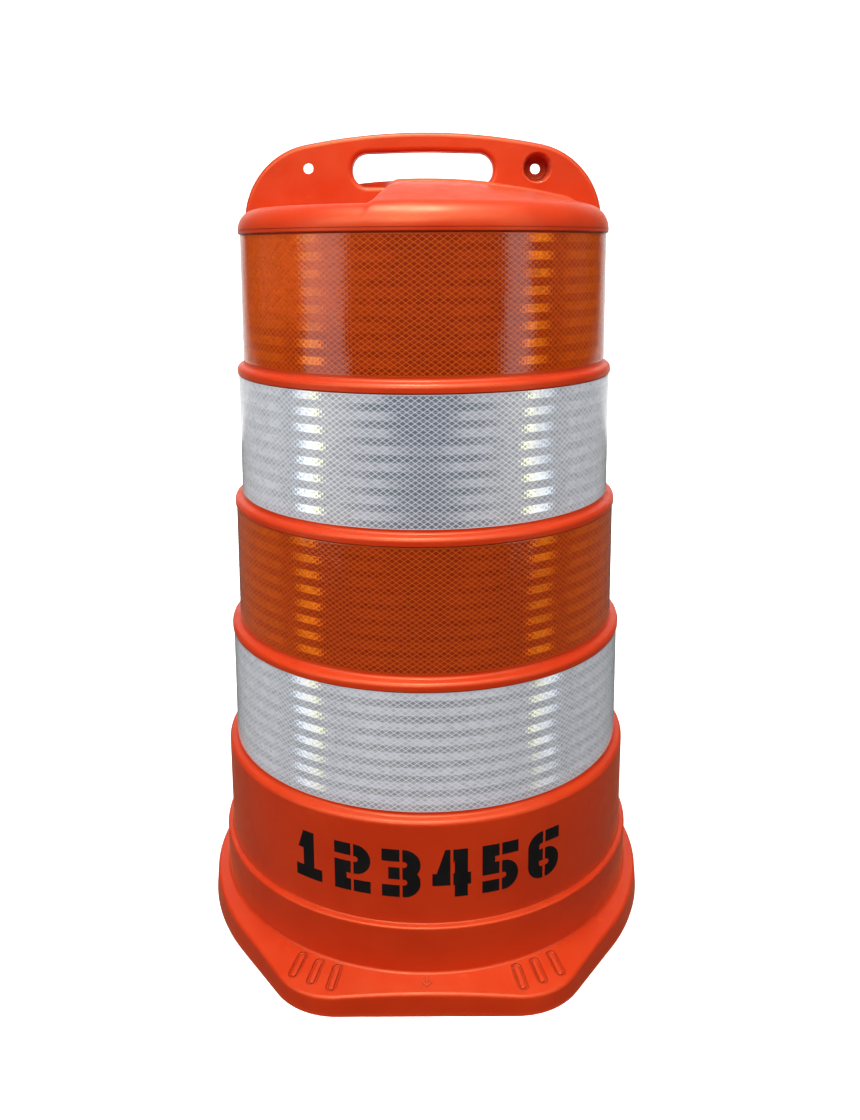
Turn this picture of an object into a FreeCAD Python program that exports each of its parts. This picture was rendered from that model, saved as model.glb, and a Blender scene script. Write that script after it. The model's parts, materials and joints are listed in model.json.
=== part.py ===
"""A traffic barrel drum: a tapered, blow-moulded channelizer with four bands of prismatic sheeting.

Millimetres, +Z up. The origin is on the ground at the drum's axis. The carrying handle lies in the XZ
plane and the front of the drum, with the stencilled marking, faces -Y. The drum is the same after half a
turn about Z, apart from the marking and the laps of the sheeting.
"""

import FreeCAD, Part
import math
import os
from FreeCAD import Vector

# Walls and films
WALL = 2.5  # moulded polyethylene shell
BACKING_FILM = 0.15  # adhesive backing of the sheeting
FACE_FILM = 0.30  # prismatic face of the sheeting
SHEETING = BACKING_FILM + FACE_FILM
PAINT = 0.2  # stencilled marking
LAP = 25.4  # the end of each sheeting strip laps over its start

# Tiers, from the top down
BAND_HEIGHT = 152.4
BAND_GAP = 19.05
TOP_BAND_Z = 909.0
BAND_PITCH = BAND_HEIGHT + BAND_GAP
BAND_RADII = (232.5, 242.3, 253.7, 266.0)  # face of the sheeting, at each band's top edge
DRAFT = 0.018  # growth of a tier's radius for each millimetre down
BEAD_PROUD = 1.5  # how far the bead above a band stands out past its sheeting
BAND_STEP = 0.8  # height of the small steps just above and below a band
GAP_CREASE_DROP = 5.0  # from a band's bottom edge down to the crease above the next bead
GAP_CREASE_ROUND = 4.0
BEAD_DROP = 8.6  # from a band's bottom edge down to the corner of the bead
BEAD_ROUND = 6.5
MARKED_TIER_RADIUS = 279.6
MARKED_TIER_FOOT_Z = 98.5
MARKED_TIER_FOOT_RADIUS = 281.4
MARKED_TIER_FOOT_ROUND = 2.0

# Dome and shoulder
SHOULDER_RADIUS = 235.0
SHOULDER_Z = 915.0  # where the shoulder is widest
LIP_Z = 911.5
LIP_ROUND = 1.2
SHELF_ROUND = 26.0  # rounding at the edge of the lamp shelf
SHELF_Z = SHOULDER_Z + SHELF_ROUND
DOME_ROUND = 30.0  # rounding at the edge of the dome
DOME_RADIUS = 780.0
STEP_X = -58.0  # foot of the step from shelf to dome, in front of the handle
STEP_SLOPE = math.radians(56)
STEP_FOOT_ROUND = 9.0
STEP_CREST_ROUND = 12.0

# Handle
HANDLE_THICKNESS = 30.0
HANDLE_HALF_WIDTH = 227.0
HANDLE_TOP_Z = 1033.4
HANDLE_ARCH_RADIUS = 780.0
HANDLE_CORNER_RADIUS = 98.0
HANDLE_FOOT_Z = 921.0
HANDLE_EDGE_ROUND = 6.0
GRIP_HALF_WIDTH = 88.75
GRIP_FLOOR_Z = 968.4
GRIP_SIDE_Z = 1008.5
GRIP_CROWN_Z = 1011.0
GRIP_ROUND = 19.5
LAMP_HOLE_RADIUS = 6.35
LAMP_HOLE_X = 143.5
LAMP_HOLE_Z = 990.7
LAMP_CUP_RADIUS = 17.0
LAMP_CUP_FLOOR_RADIUS = 14.5
LAMP_CUP_LIP_ROUND = 2.5

# Ballast collar and flange
COLLAR_TOP_Z = 97.0
COLLAR_RADIUS = 289.5
COLLAR_FOOT_Z = 35.0
COLLAR_LEDGE_ROUND = 3.0
COLLAR_FOOT_ROUND = 4.0
FLANGE_SLOPE = 0.2
FLANGE_EDGE_ROUND = 5.0
FLANGE_FRONT = 322.0  # from the axis to the front and back flats, at the ground
FLANGE_SIDE_RADIUS = 348.0
FLANGE_SIDE_OFFSET = 39.0
FLANGE_CORNER_ANGLE = math.radians(53.7)  # direction that the short corner flats face
FLANGE_CORNER_RADIUS = 95.0
SKIRT_DRAFT = 0.1  # how far the skirt leans in for each millimetre up
SKIRT_TOOL_TOP_Z = 45.0
FLANGE_REACH = 362.0  # the round blank that the flange is trimmed from

# Toe grips: three rounded slots pressed into each corner of the flange
TOE_GRIP_AZIMUTHS = (21.3, 26.1, 30.9)
TOE_GRIP_FAN = 0.6  # share of its azimuth that a slot turns
TOE_GRIP_CENTRE_RADIUS = 312.5
TOE_GRIP_LENGTH = 39.0
TOE_GRIP_WIDTH = 13.0
TOE_GRIP_DEPTH = 2.5
TOE_GRIP_EDGE_ROUND = 1.0

# Moulded arrow at the middle of the front flange
ARROW_RADIUS = 301.5
ARROW_LENGTH = 15.0
ARROW_HALF_WIDTH = 6.0
ARROW_LINE = 2.0
ARROW_PROUD = 0.8

# Stencilled marking: six digits with stencil bridges
MARK_TEXT = "123456"
MARK_CENTRE_Z = 166.0
MARK_HEIGHT = 64.0
MARK_WIDTH = 47.0
MARK_PITCH = 61.0
MARK_STROKE = 16.0
MARK_BRIDGE = 3.6
MARK_TAIL = 4.0  # how far the bar of the 4 runs past its post
UNBRIDGED = "1"
MARK_CUT_DEPTH = 12.0  # how deep a flat digit reaches into the round wall to meet it across its width

FRONT_AND_BACK = (0, 180)
Z_AXIS = Vector(0, 0, 1)
ORIGIN = Vector(0, 0, 0)
CLEAR = 1.0  # how far a cutting tool runs past the face it opens
SAME_PLACE = 1e-6  # points closer than this are one point
ROUNDING_SHARE = 0.49  # most of a side's length that the rounding at one end may take up
SMALLEST_ROUND = 0.02  # a rounding that would reach less than this from its corner is left out
STRAIGHT_ON = math.radians(89.5)  # half the angle at a corner that is as good as straight


def rounded_edges(corners):
    """Edges in the XZ plane through (x, z, rounding) corners, with a tangent arc at each inner corner."""
    points = [Vector(x, 0, z) for x, z, _ in corners]
    edges = []
    start = points[0]
    for before, corner, after, (_, _, rounding) in zip(points, points[1:], points[2:], corners[1:-1]):
        back = (before - corner).normalize()
        ahead = (after - corner).normalize()
        half = back.getAngle(ahead) / 2
        room = min((before - corner).Length, (after - corner).Length) * ROUNDING_SHARE
        reach = min(rounding / math.tan(half), room)
        if reach < SMALLEST_ROUND or half > STRAIGHT_ON:
            edges.append(Part.makeLine(start, corner))
            start = corner
            continue
        bisector = (back + ahead).normalize()
        radius = reach * math.tan(half)
        middle = corner + bisector * (radius / math.sin(half) - radius)
        edges.append(Part.makeLine(start, corner + back * reach))
        edges.append(Part.Arc(corner + back * reach, middle, corner + ahead * reach).toShape())
        start = corner + ahead * reach
    edges.append(Part.makeLine(start, points[-1]))
    return edges


def inset_corners(corners, inset):
    """The same corners moved inset to the right of the path, with their roundings kept concentric."""
    if not inset:
        return corners
    points = [Vector(x, 0, z) for x, z, _ in corners]
    ways = [(b - a).normalize() for a, b in zip(points, points[1:])]
    normals = [Vector(way.z, 0, -way.x) for way in ways]
    moved = [(points[0] + normals[0] * inset, 0)]
    for i in range(1, len(ways)):
        bend = normals[i - 1] + normals[i]
        shift = bend * (2 * inset / bend.dot(bend))
        turns_right = ways[i - 1].cross(ways[i]).y > 0
        rounding = corners[i][2] + (-inset if turns_right else inset)
        moved.append((points[i] + shift, max(rounding, 0)))
    moved.append((points[-1] + normals[-1] * inset, 0))
    return [(point.x, point.z, rounding) for point, rounding in moved]


def revolved(edges, floor_z):
    """Solid of revolution under an open path of edges that starts on the axis."""
    first = edges[0].firstVertex(True).Point
    last = edges[-1].lastVertex(True).Point
    round_trip = [last, Vector(last.x, 0, floor_z), Vector(0, 0, floor_z), first]
    closing = []
    for a, b in zip(round_trip, round_trip[1:]):
        if not a.isEqual(b, SAME_PLACE):
            closing.append(Part.makeLine(a, b))
    return Part.Face(Part.Wire(edges + closing)).revolve(ORIGIN, Z_AXIS, 360)


def band_top(index):
    return TOP_BAND_Z - index * BAND_PITCH


def band_foot_radius(index):
    return BAND_RADII[index] + DRAFT * BAND_HEIGHT


def tier_corners():
    """The drum's outer profile from the axis, over the lamp shelf and down every tier to the flange."""
    corners = [
        (0, SHELF_Z, 0),
        (SHOULDER_RADIUS, SHELF_Z, SHELF_ROUND),
        (SHOULDER_RADIUS, LIP_Z, LIP_ROUND),
    ]
    bead_radii = [radius + BEAD_PROUD for radius in BAND_RADII[1:]] + [MARKED_TIER_RADIUS]
    for index, bead_radius in enumerate(bead_radii):
        foot_z = band_top(index) - BAND_HEIGHT
        corners += [
            (BAND_RADII[index] - SHEETING, band_top(index) + BAND_STEP, BAND_STEP / 2),
            (band_foot_radius(index) - SHEETING, foot_z - GAP_CREASE_DROP, GAP_CREASE_ROUND),
            (bead_radius, foot_z - BEAD_DROP, BEAD_ROUND),
        ]
        if index + 1 < len(BAND_RADII):
            corners.append((bead_radius, band_top(index + 1) + 2 * BAND_STEP, BAND_STEP))
    corners += [
        (MARKED_TIER_FOOT_RADIUS, MARKED_TIER_FOOT_Z, MARKED_TIER_FOOT_ROUND),
        (COLLAR_RADIUS, COLLAR_TOP_Z, COLLAR_LEDGE_ROUND),
        (COLLAR_RADIUS, COLLAR_FOOT_Z, COLLAR_FOOT_ROUND),
        (FLANGE_REACH, flange_top_z(FLANGE_REACH), 0),
    ]
    return corners


def flange_top_z(radius):
    return COLLAR_FOOT_Z - FLANGE_SLOPE * (radius - COLLAR_RADIUS)


def flange_outline(offset, z):
    """The flange's plan: straight front and back, four short corner flats and bowed sides."""
    angle = FLANGE_CORNER_ANGLE
    front = FLANGE_FRONT + offset
    corner_radius = FLANGE_CORNER_RADIUS + offset
    side_radius = FLANGE_SIDE_RADIUS + offset
    corner_flat = side_radius - FLANGE_SIDE_OFFSET * math.sin(angle)
    meeting_x = (corner_flat - front * math.cos(angle)) / math.sin(angle)
    front_end = meeting_x - corner_radius * math.tan(angle / 2)

    def quarter(flip_x, flip_y):
        """Start, middle and end of the corner's arc, then the start of the side's arc."""
        turns = (0, angle / 2, angle)
        plan = [
            (front_end + corner_radius * math.sin(turn), front - corner_radius * (1 - math.cos(turn)))
            for turn in turns
        ]
        plan.append((side_radius * math.sin(angle) - FLANGE_SIDE_OFFSET, side_radius * math.cos(angle)))
        return [Vector(x * flip_x, y * flip_y, z) for x, y in plan]

    front_right = quarter(1, -1)
    back_right = quarter(1, 1)[::-1]
    back_left = quarter(-1, 1)
    front_left = quarter(-1, -1)[::-1]
    edges = []
    for leaving, arriving, side in ((front_right, back_right, 1), (back_left, front_left, -1)):
        bow = Vector(side * (side_radius - FLANGE_SIDE_OFFSET), 0, z)
        edges += [
            Part.Arc(*leaving[:3]).toShape(),
            Part.makeLine(leaving[2], leaving[3]),
            Part.Arc(leaving[3], bow, arriving[0]).toShape(),
            Part.makeLine(arriving[0], arriving[1]),
            Part.Arc(*arriving[1:]).toShape(),
            Part.makeLine(arriving[3], Vector(-arriving[3].x, arriving[3].y, z)),
        ]
    return Part.Wire(edges)


def flange_trim(inset):
    """What lies outside the flange's skirt, to be cut from the round body."""
    low_z = -2 * CLEAR
    low = flange_outline(-inset - SKIRT_DRAFT * low_z, low_z)
    high = flange_outline(-inset - SKIRT_DRAFT * SKIRT_TOOL_TOP_Z, SKIRT_TOOL_TOP_Z)
    skirt = Part.makeLoft([low, high], True, True)
    ring = Part.makeCylinder(FLANGE_REACH + CLEAR, SKIRT_TOOL_TOP_Z - low_z, Vector(0, 0, low_z))
    return ring.cut(skirt)


def raised_dome(inset):
    """The dome's cap, kept on two opposite quadrants beside the handle and cut off by a step."""
    round_centre_r = SHOULDER_RADIUS - DOME_ROUND
    reach = DOME_RADIUS - DOME_ROUND
    centre_z = SHOULDER_Z - math.sqrt(reach**2 - round_centre_r**2)
    lean = math.asin(round_centre_r / reach)
    cap_radius = DOME_RADIUS - inset
    round_radius = DOME_ROUND - inset

    def on_arc(centre_r, centre_height, radius, turn):
        return Vector(centre_r + radius * math.sin(turn), 0, centre_height + radius * math.cos(turn))

    cap = Part.Arc(*[on_arc(0, centre_z, cap_radius, lean * share) for share in (0, 0.5, 1)]).toShape()
    turns = (lean, (lean + math.pi / 2) / 2, math.pi / 2)
    rim = [on_arc(round_centre_r, SHOULDER_Z, round_radius, turn) for turn in turns]
    rounding = Part.Arc(*rim).toShape()
    whole = revolved([cap, rounding], SHOULDER_Z)

    over_crest_z = centre_z + DOME_RADIUS + DOME_ROUND
    run = (over_crest_z - SHELF_Z) / math.tan(STEP_SLOPE)
    corners = [
        (STEP_X - 2 * STEP_FOOT_ROUND, SHELF_Z, 0),
        (STEP_X, SHELF_Z, STEP_FOOT_ROUND),
        (STEP_X + run, over_crest_z, 0),
    ]
    step = inset_corners(corners, inset)
    edges = rounded_edges(step)
    left = edges[0].firstVertex(True).Point
    top = edges[-1].lastVertex(True).Point
    reach_x = SHOULDER_RADIUS + CLEAR
    outline = [
        top,
        Vector(reach_x, 0, top.z),
        Vector(reach_x, 0, SHOULDER_Z),
        Vector(left.x, 0, SHOULDER_Z),
        left,
    ]
    edges += [Part.makeLine(a, b) for a, b in zip(outline, outline[1:])]
    front = whole.common(Part.Face(Part.Wire(edges)).extrude(Vector(0, -reach_x, 0)))
    crest = [edge for edge in front.Edges if is_step_crest(edge)]
    front = front.makeFillet(STEP_CREST_ROUND - inset, crest)
    back = front.copy()
    back.rotate(ORIGIN, Z_AXIS, 180)
    return [front, back]


def is_step_crest(edge):
    """True for the long sloping edge where the step meets the dome."""
    box = edge.BoundBox
    return box.YLength > SHOULDER_RADIUS / 2 and box.ZMin > SHELF_Z and box.ZLength > STEP_CREST_ROUND


def slab(edges, thickness):
    """A flat plate in the XZ plane, centred on it."""
    plate = Part.Face(Part.Wire(edges)).extrude(Vector(0, thickness, 0))
    plate.translate(Vector(0, -thickness / 2, 0))
    return plate


def handle_outline(inset):
    """The arched handle's outline: one wide arc, two corner arcs and straight sides."""
    arch_centre_z = HANDLE_TOP_Z - HANDLE_ARCH_RADIUS
    corner_x = HANDLE_HALF_WIDTH - HANDLE_CORNER_RADIUS
    reach = HANDLE_ARCH_RADIUS - HANDLE_CORNER_RADIUS
    corner_z = arch_centre_z + math.sqrt(reach**2 - corner_x**2)
    lean = math.asin(corner_x / reach)
    arch_radius = HANDLE_ARCH_RADIUS - inset
    corner_radius = HANDLE_CORNER_RADIUS - inset

    def corner_point(side, turn):
        return Vector(
            side * (corner_x + corner_radius * math.sin(turn)), 0, corner_z + corner_radius * math.cos(turn)
        )

    turns = (lean, (lean + math.pi / 2) / 2, math.pi / 2)
    right = [corner_point(1, turn) for turn in turns]
    left = [corner_point(-1, turn) for turn in turns]
    right_foot = Vector(right[2].x, 0, HANDLE_FOOT_Z)
    left_foot = Vector(left[2].x, 0, HANDLE_FOOT_Z)
    return [
        Part.makeLine(left_foot, left[2]),
        Part.Arc(*left[::-1]).toShape(),
        Part.Arc(left[0], Vector(0, 0, arch_centre_z + arch_radius), right[0]).toShape(),
        Part.Arc(*right).toShape(),
        Part.makeLine(right[2], right_foot),
        Part.makeLine(right_foot, left_foot),
    ]


def grip_outline(inset):
    """The hand opening: a slot with rounded ends and a slightly crowned top."""
    half = GRIP_HALF_WIDTH + inset
    floor_z = GRIP_FLOOR_Z - inset
    rounding = GRIP_ROUND + inset
    corners = [
        (0, floor_z, 0),
        (-half, floor_z, rounding),
        (-half, GRIP_SIDE_Z + inset, rounding),
        (0, GRIP_CROWN_Z + inset, HANDLE_ARCH_RADIUS),
        (half, GRIP_SIDE_Z + inset, rounding),
        (half, floor_z, rounding),
        (0, floor_z, 0),
    ]
    return rounded_edges(corners)


def lamp_cup(inset):
    """A deep round cup, open to the front, whose floor closes on the far wall of the handle."""
    depth = HANDLE_THICKNESS - 2 * WALL
    if inset:
        depth = HANDLE_THICKNESS
    mouth = LAMP_CUP_RADIUS + inset
    floor = LAMP_CUP_FLOOR_RADIUS + inset
    start = Vector(LAMP_HOLE_X, -HANDLE_THICKNESS / 2, LAMP_HOLE_Z)
    return Part.makeCone(mouth, floor, depth, start, Vector(0, 1, 0))


def edges_where(shape, wanted):
    """Edges of shape whose every vertex meets the condition."""
    return [edge for edge in shape.Edges if all(wanted(vertex.Point) for vertex in edge.Vertexes)]


def handle(inset):
    """The hollow handle: plate with rounded edges, grip opening and two lamp cups on opposite faces."""
    thickness = HANDLE_THICKNESS - 2 * inset
    plate = slab(handle_outline(inset), thickness).cut(slab(grip_outline(inset), thickness + 2 * CLEAR))
    half = thickness / 2

    def is_rim(point):
        return abs(abs(point.y) - half) < SAME_PLACE and point.z > HANDLE_FOOT_Z - CLEAR

    rims = [
        edge
        for edge in edges_where(plate, is_rim)
        if edge.BoundBox.YLength < SAME_PLACE and edge.BoundBox.ZMax > HANDLE_FOOT_Z + CLEAR
    ]
    plate = plate.makeFillet(HANDLE_EDGE_ROUND - inset, rims)
    for turn in FRONT_AND_BACK:
        cup = lamp_cup(inset)
        cup.rotate(ORIGIN, Z_AXIS, turn)
        plate = plate.cut(cup)
    if not inset:
        plate = plate.makeFillet(LAMP_CUP_LIP_ROUND, cup_lips(plate))
    return plate


def cup_lips(plate):
    """The mouth edges of both lamp cups."""
    lips = []
    for edge in plate.Edges:
        if not isinstance(edge.Curve, Part.Circle):
            continue
        centre = edge.Curve.Center
        on_cup = abs(abs(centre.x) - LAMP_HOLE_X) < SAME_PLACE and abs(centre.z - LAMP_HOLE_Z) < SAME_PLACE
        if on_cup and abs(edge.Curve.Radius - LAMP_CUP_RADIUS) < SAME_PLACE:
            lips.append(edge)
    return lips


def toe_grips(inset):
    """Twelve slots pressed into the flange.

    An inset makes them wider and deeper, to keep the wall under them.
    """
    half_width = TOE_GRIP_WIDTH / 2 + inset
    half_run = TOE_GRIP_LENGTH / 2 - TOE_GRIP_WIDTH / 2
    height = COLLAR_FOOT_Z / 2
    slot = Part.makeBox(2 * half_width, 2 * half_run, height, Vector(-half_width, -half_run, 0))
    for end in (-half_run, half_run):
        slot = slot.fuse(Part.makeCylinder(half_width, height, Vector(0, end, 0)))
    slot = slot.removeSplitter()
    slot = slot.makeFillet(TOE_GRIP_EDGE_ROUND, edges_where(slot, lambda point: abs(point.z) < SAME_PLACE))
    tools = []
    for azimuth in TOE_GRIP_AZIMUTHS:
        for side in (-1, 1):
            for turn in FRONT_AND_BACK:
                tool = slot.copy()
                tool.rotate(ORIGIN, Vector(1, 0, 0), math.degrees(math.atan(FLANGE_SLOPE)))
                tool.rotate(ORIGIN, Z_AXIS, side * azimuth * TOE_GRIP_FAN)
                angle = math.radians(side * azimuth)
                tool.translate(
                    Vector(
                        TOE_GRIP_CENTRE_RADIUS * math.sin(angle),
                        -TOE_GRIP_CENTRE_RADIUS * math.cos(angle),
                        flange_top_z(TOE_GRIP_CENTRE_RADIUS) - TOE_GRIP_DEPTH - inset,
                    )
                )
                tool.rotate(ORIGIN, Z_AXIS, turn)
                tools.append(tool)
    return tools


def flange_arrow():
    """A small raised arrow on the front flange that points away from the drum."""
    tip = ARROW_LENGTH / 2
    half_line = ARROW_LINE / 2
    stem_end = tip - ARROW_LINE
    stem = [(-half_line, -tip), (half_line, -tip), (half_line, stem_end), (-half_line, stem_end)]
    barb = tip - ARROW_HALF_WIDTH
    line = ARROW_LINE / math.sqrt(2)
    head = [
        (0, tip),
        (-ARROW_HALF_WIDTH, barb),
        (-ARROW_HALF_WIDTH + line, barb - line),
        (0, tip - 2 * line),
        (ARROW_HALF_WIDTH - line, barb - line),
        (ARROW_HALF_WIDTH, barb),
    ]
    pieces = []
    for outline in (stem, head):
        points = [Vector(x, -out, 0) for x, out in outline]
        face = Part.Face(Part.makePolygon(points + points[:1]))
        piece = face.extrude(Vector(0, 0, ARROW_PROUD + WALL / 2))
        piece.rotate(ORIGIN, Vector(1, 0, 0), math.degrees(math.atan(FLANGE_SLOPE)))
        piece.translate(Vector(0, -ARROW_RADIUS, flange_top_z(ARROW_RADIUS) - WALL / 2))
        pieces.append(piece)
    return pieces[0].fuse(pieces[1])


def body_form(inset):
    """The whole moulding as a solid block, with every surface moved inward by inset."""
    floor_z = -CLEAR if inset else 0
    form = revolved(rounded_edges(inset_corners(tier_corners(), inset)), floor_z)
    form = form.cut(flange_trim(inset))

    def is_skirt_top(point):
        in_reach = math.hypot(point.x, point.y) > COLLAR_RADIUS + COLLAR_FOOT_ROUND
        return in_reach and COLLAR_FOOT_Z / 2 < point.z < COLLAR_FOOT_Z

    form = form.makeFillet(FLANGE_EDGE_ROUND - inset, edges_where(form, is_skirt_top))
    form = form.fuse(raised_dome(inset) + [handle(inset)])
    return form.cut(toe_grips(inset))


def drum_body():
    """The one-piece moulded shell: handle, dome, tiers, ballast collar and flange, open at the ground."""
    shell = body_form(0).cut(body_form(WALL))
    for side in (-1, 1):
        start = Vector(side * LAMP_HOLE_X, -HANDLE_THICKNESS, LAMP_HOLE_Z)
        shell = shell.cut(Part.makeCylinder(LAMP_HOLE_RADIUS, 2 * HANDLE_THICKNESS, start, Vector(0, 1, 0)))
    return shell.fuse(flange_arrow())


def lapped_outline(radius, inner, outer, z):
    """Plan of one film layer of a strip that runs once round the drum and laps over its start at the back.

    inner and outer are the layer's faces above the wall. The strip starts at the back and climbs by one
    whole sheeting thickness just before it comes round again.
    """
    start = math.pi / 2
    climb = 4 * SHEETING / radius
    lap = LAP / radius

    def at(offset, angle):
        return Vector((radius + offset) * math.cos(angle), (radius + offset) * math.sin(angle), z)

    def arc(offset, first, last):
        return Part.Arc(at(offset, first), at(offset, (first + last) / 2), at(offset, last)).toShape()

    full = start + 2 * math.pi
    half = start + math.pi
    low_end = full - 2 * climb
    high_start = full - climb
    end = full + lap
    return Part.Wire(
        [
            arc(inner, start, half),
            arc(inner, half, low_end),
            Part.makeLine(at(inner, low_end), at(inner + SHEETING, high_start)),
            arc(inner + SHEETING, high_start, end),
            Part.makeLine(at(inner + SHEETING, end), at(outer + SHEETING, end)),
            arc(outer + SHEETING, end, high_start),
            Part.makeLine(at(outer + SHEETING, high_start), at(outer, low_end)),
            arc(outer, low_end, half),
            arc(outer, half, start),
            Part.makeLine(at(outer, start), at(inner, start)),
        ]
    )


def sheeting_layer(index, inner, outer):
    """One film of a sheeting band, as a closed solid."""
    top_z = band_top(index)
    wall_top = BAND_RADII[index] - SHEETING
    wall_foot = band_foot_radius(index) - SHEETING
    low = lapped_outline(wall_foot, inner, outer, top_z - BAND_HEIGHT)
    high = lapped_outline(wall_top, inner, outer, top_z)
    return Part.makeLoft([low, high], True, True)


def bar(left, foot, right, top):
    return Part.makeBox(right - left, 1, top - foot, Vector(left, 0, foot))


def bowl(centre_x, centre_z, first, last):
    """A curved stroke: part of a ring as tall as half the glyph, between two angles in degrees."""
    outer = (MARK_HEIGHT + MARK_STROKE) / 4
    sector = Part.makeCylinder(outer, 1, Vector(0, 0, 0), Z_AXIS, last - first)
    sector = sector.cut(Part.makeCylinder(outer - MARK_STROKE, 1))
    sector.rotate(ORIGIN, Z_AXIS, first)
    sector.rotate(ORIGIN, Vector(1, 0, 0), 90)
    sector.translate(Vector(centre_x, 1, centre_z))
    return sector


def slant(foot_x, top_x, foot, top):
    """A leaning stroke, as wide as the others."""
    stroke = Vector(MARK_STROKE, 0, 0)
    low = Vector(foot_x, 0, foot)
    high = Vector(top_x, 0, top)
    outline = Part.makePolygon([low, low + stroke, high + stroke, high, low])
    return Part.Face(outline).extrude(Vector(0, 1, 0))


def glyph(digit):
    """A heavy digit in strokes, before its stencil bridge is cut."""
    width, height, stroke = MARK_WIDTH, MARK_HEIGHT, MARK_STROKE
    bowl_radius = (height + stroke) / 4
    right_x = width - bowl_radius
    left_x = bowl_radius
    high_z = height - bowl_radius
    low_z = bowl_radius
    middle = (height - stroke) / 2
    head = height - stroke
    stem_x = (width - stroke) / 2
    flag_x = stem_x - stroke / 2
    post_x = width - stroke - MARK_TAIL
    upper_bowl = bowl(right_x, high_z, -90, 90)
    lower_bowl = bowl(right_x, low_z, -90, 90)
    middle_bar = bar(stroke / 2, middle, right_x, middle + stroke)
    top_bar = bar(0, head, right_x, height)
    foot_bar = bar(0, 0, right_x, stroke)
    strokes = {
        "1": [
            bar(stem_x, 0, stem_x + stroke, height),
            slant(flag_x, stem_x, head - stroke / 2, height),
            bar(stroke / 4, 0, width - stroke / 4, stroke),
        ],
        "2": [
            top_bar,
            upper_bowl,
            middle_bar,
            bar(0, 0, stroke, middle + stroke),
            bar(0, 0, width, stroke),
        ],
        "3": [top_bar, upper_bowl, middle_bar, lower_bowl, foot_bar],
        "4": [
            slant(0, stem_x, stroke, height),
            bar(0, stroke, width, 2 * stroke),
            bar(post_x, 0, post_x + stroke, height),
        ],
        "5": [
            bar(0, head, width, height),
            bar(0, middle, stroke, height),
            middle_bar,
            lower_bowl,
            foot_bar,
        ],
        "6": [
            bar(left_x, head, width, height),
            bowl(left_x, high_z, 90, 180),
            bar(0, low_z, stroke, high_z),
            bowl(left_x, low_z, 180, 270),
            bar(left_x, 0, right_x, stroke),
            middle_bar,
            lower_bowl,
        ],
    }[digit]
    return strokes[0].fuse(strokes[1:]).removeSplitter()


def marked_tier_radius(z):
    """Outer radius of the bottom tier's straight wall at a height."""
    head_z = band_top(len(BAND_RADII) - 1) - BAND_HEIGHT - BEAD_DROP
    share = (z - MARKED_TIER_FOOT_Z) / (head_z - MARKED_TIER_FOOT_Z)
    return MARKED_TIER_FOOT_RADIUS + share * (MARKED_TIER_RADIUS - MARKED_TIER_FOOT_RADIUS)


def stencil_marking():
    """Six painted digits wrapped on the bottom tier. All but the 1 are cut by an upright stencil bridge."""
    foot_z = MARK_CENTRE_Z - MARK_HEIGHT / 2 - CLEAR
    top_z = MARK_CENTRE_Z + MARK_HEIGHT / 2 + CLEAR

    def wall_cone(grow):
        foot_radius = marked_tier_radius(foot_z) + grow
        top_radius = marked_tier_radius(top_z) + grow
        return Part.makeCone(foot_radius, top_radius, top_z - foot_z, Vector(0, 0, foot_z))

    skin = wall_cone(PAINT).cut(wall_cone(0))
    bridge_left = (MARK_WIDTH - MARK_BRIDGE) / 2
    bridge = bar(bridge_left, -CLEAR, bridge_left + MARK_BRIDGE, MARK_HEIGHT + CLEAR)
    deepen = FreeCAD.Matrix()
    deepen.scale(1, MARK_CUT_DEPTH, 1)
    solids = []
    for place, digit in enumerate(MARK_TEXT):
        shape = glyph(digit)
        if digit not in UNBRIDGED:
            shape = shape.cut(bridge)
        shape = shape.transformGeometry(deepen)
        shape.translate(Vector(-MARK_WIDTH / 2, -MARKED_TIER_FOOT_RADIUS - CLEAR, foot_z + CLEAR))
        azimuth = (place - (len(MARK_TEXT) - 1) / 2) * MARK_PITCH / MARKED_TIER_RADIUS
        shape.rotate(ORIGIN, Z_AXIS, math.degrees(azimuth))
        solids += shape.common(skin).Solids
    return Part.makeCompound(solids)


def main():
    os.makedirs("parts", exist_ok=True)
    nodes = {"drum_body": drum_body(), "stencil_marking": stencil_marking()}
    band_names = ("upper_orange", "upper_white", "lower_orange", "lower_white")
    for index, name in enumerate(band_names):
        nodes[name + "_backing_film"] = sheeting_layer(index, 0, BACKING_FILM)
        nodes[name + "_face_film"] = sheeting_layer(index, BACKING_FILM, SHEETING)
    for name, shape in nodes.items():
        shape.exportStep(os.path.join("parts", name + ".step"))
        print(name, len(shape.Solids), "solids", round(shape.Volume / 1000, 1), "cm3", shape.isValid())


main()
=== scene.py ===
import json
import math
from typing import NamedTuple

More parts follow.
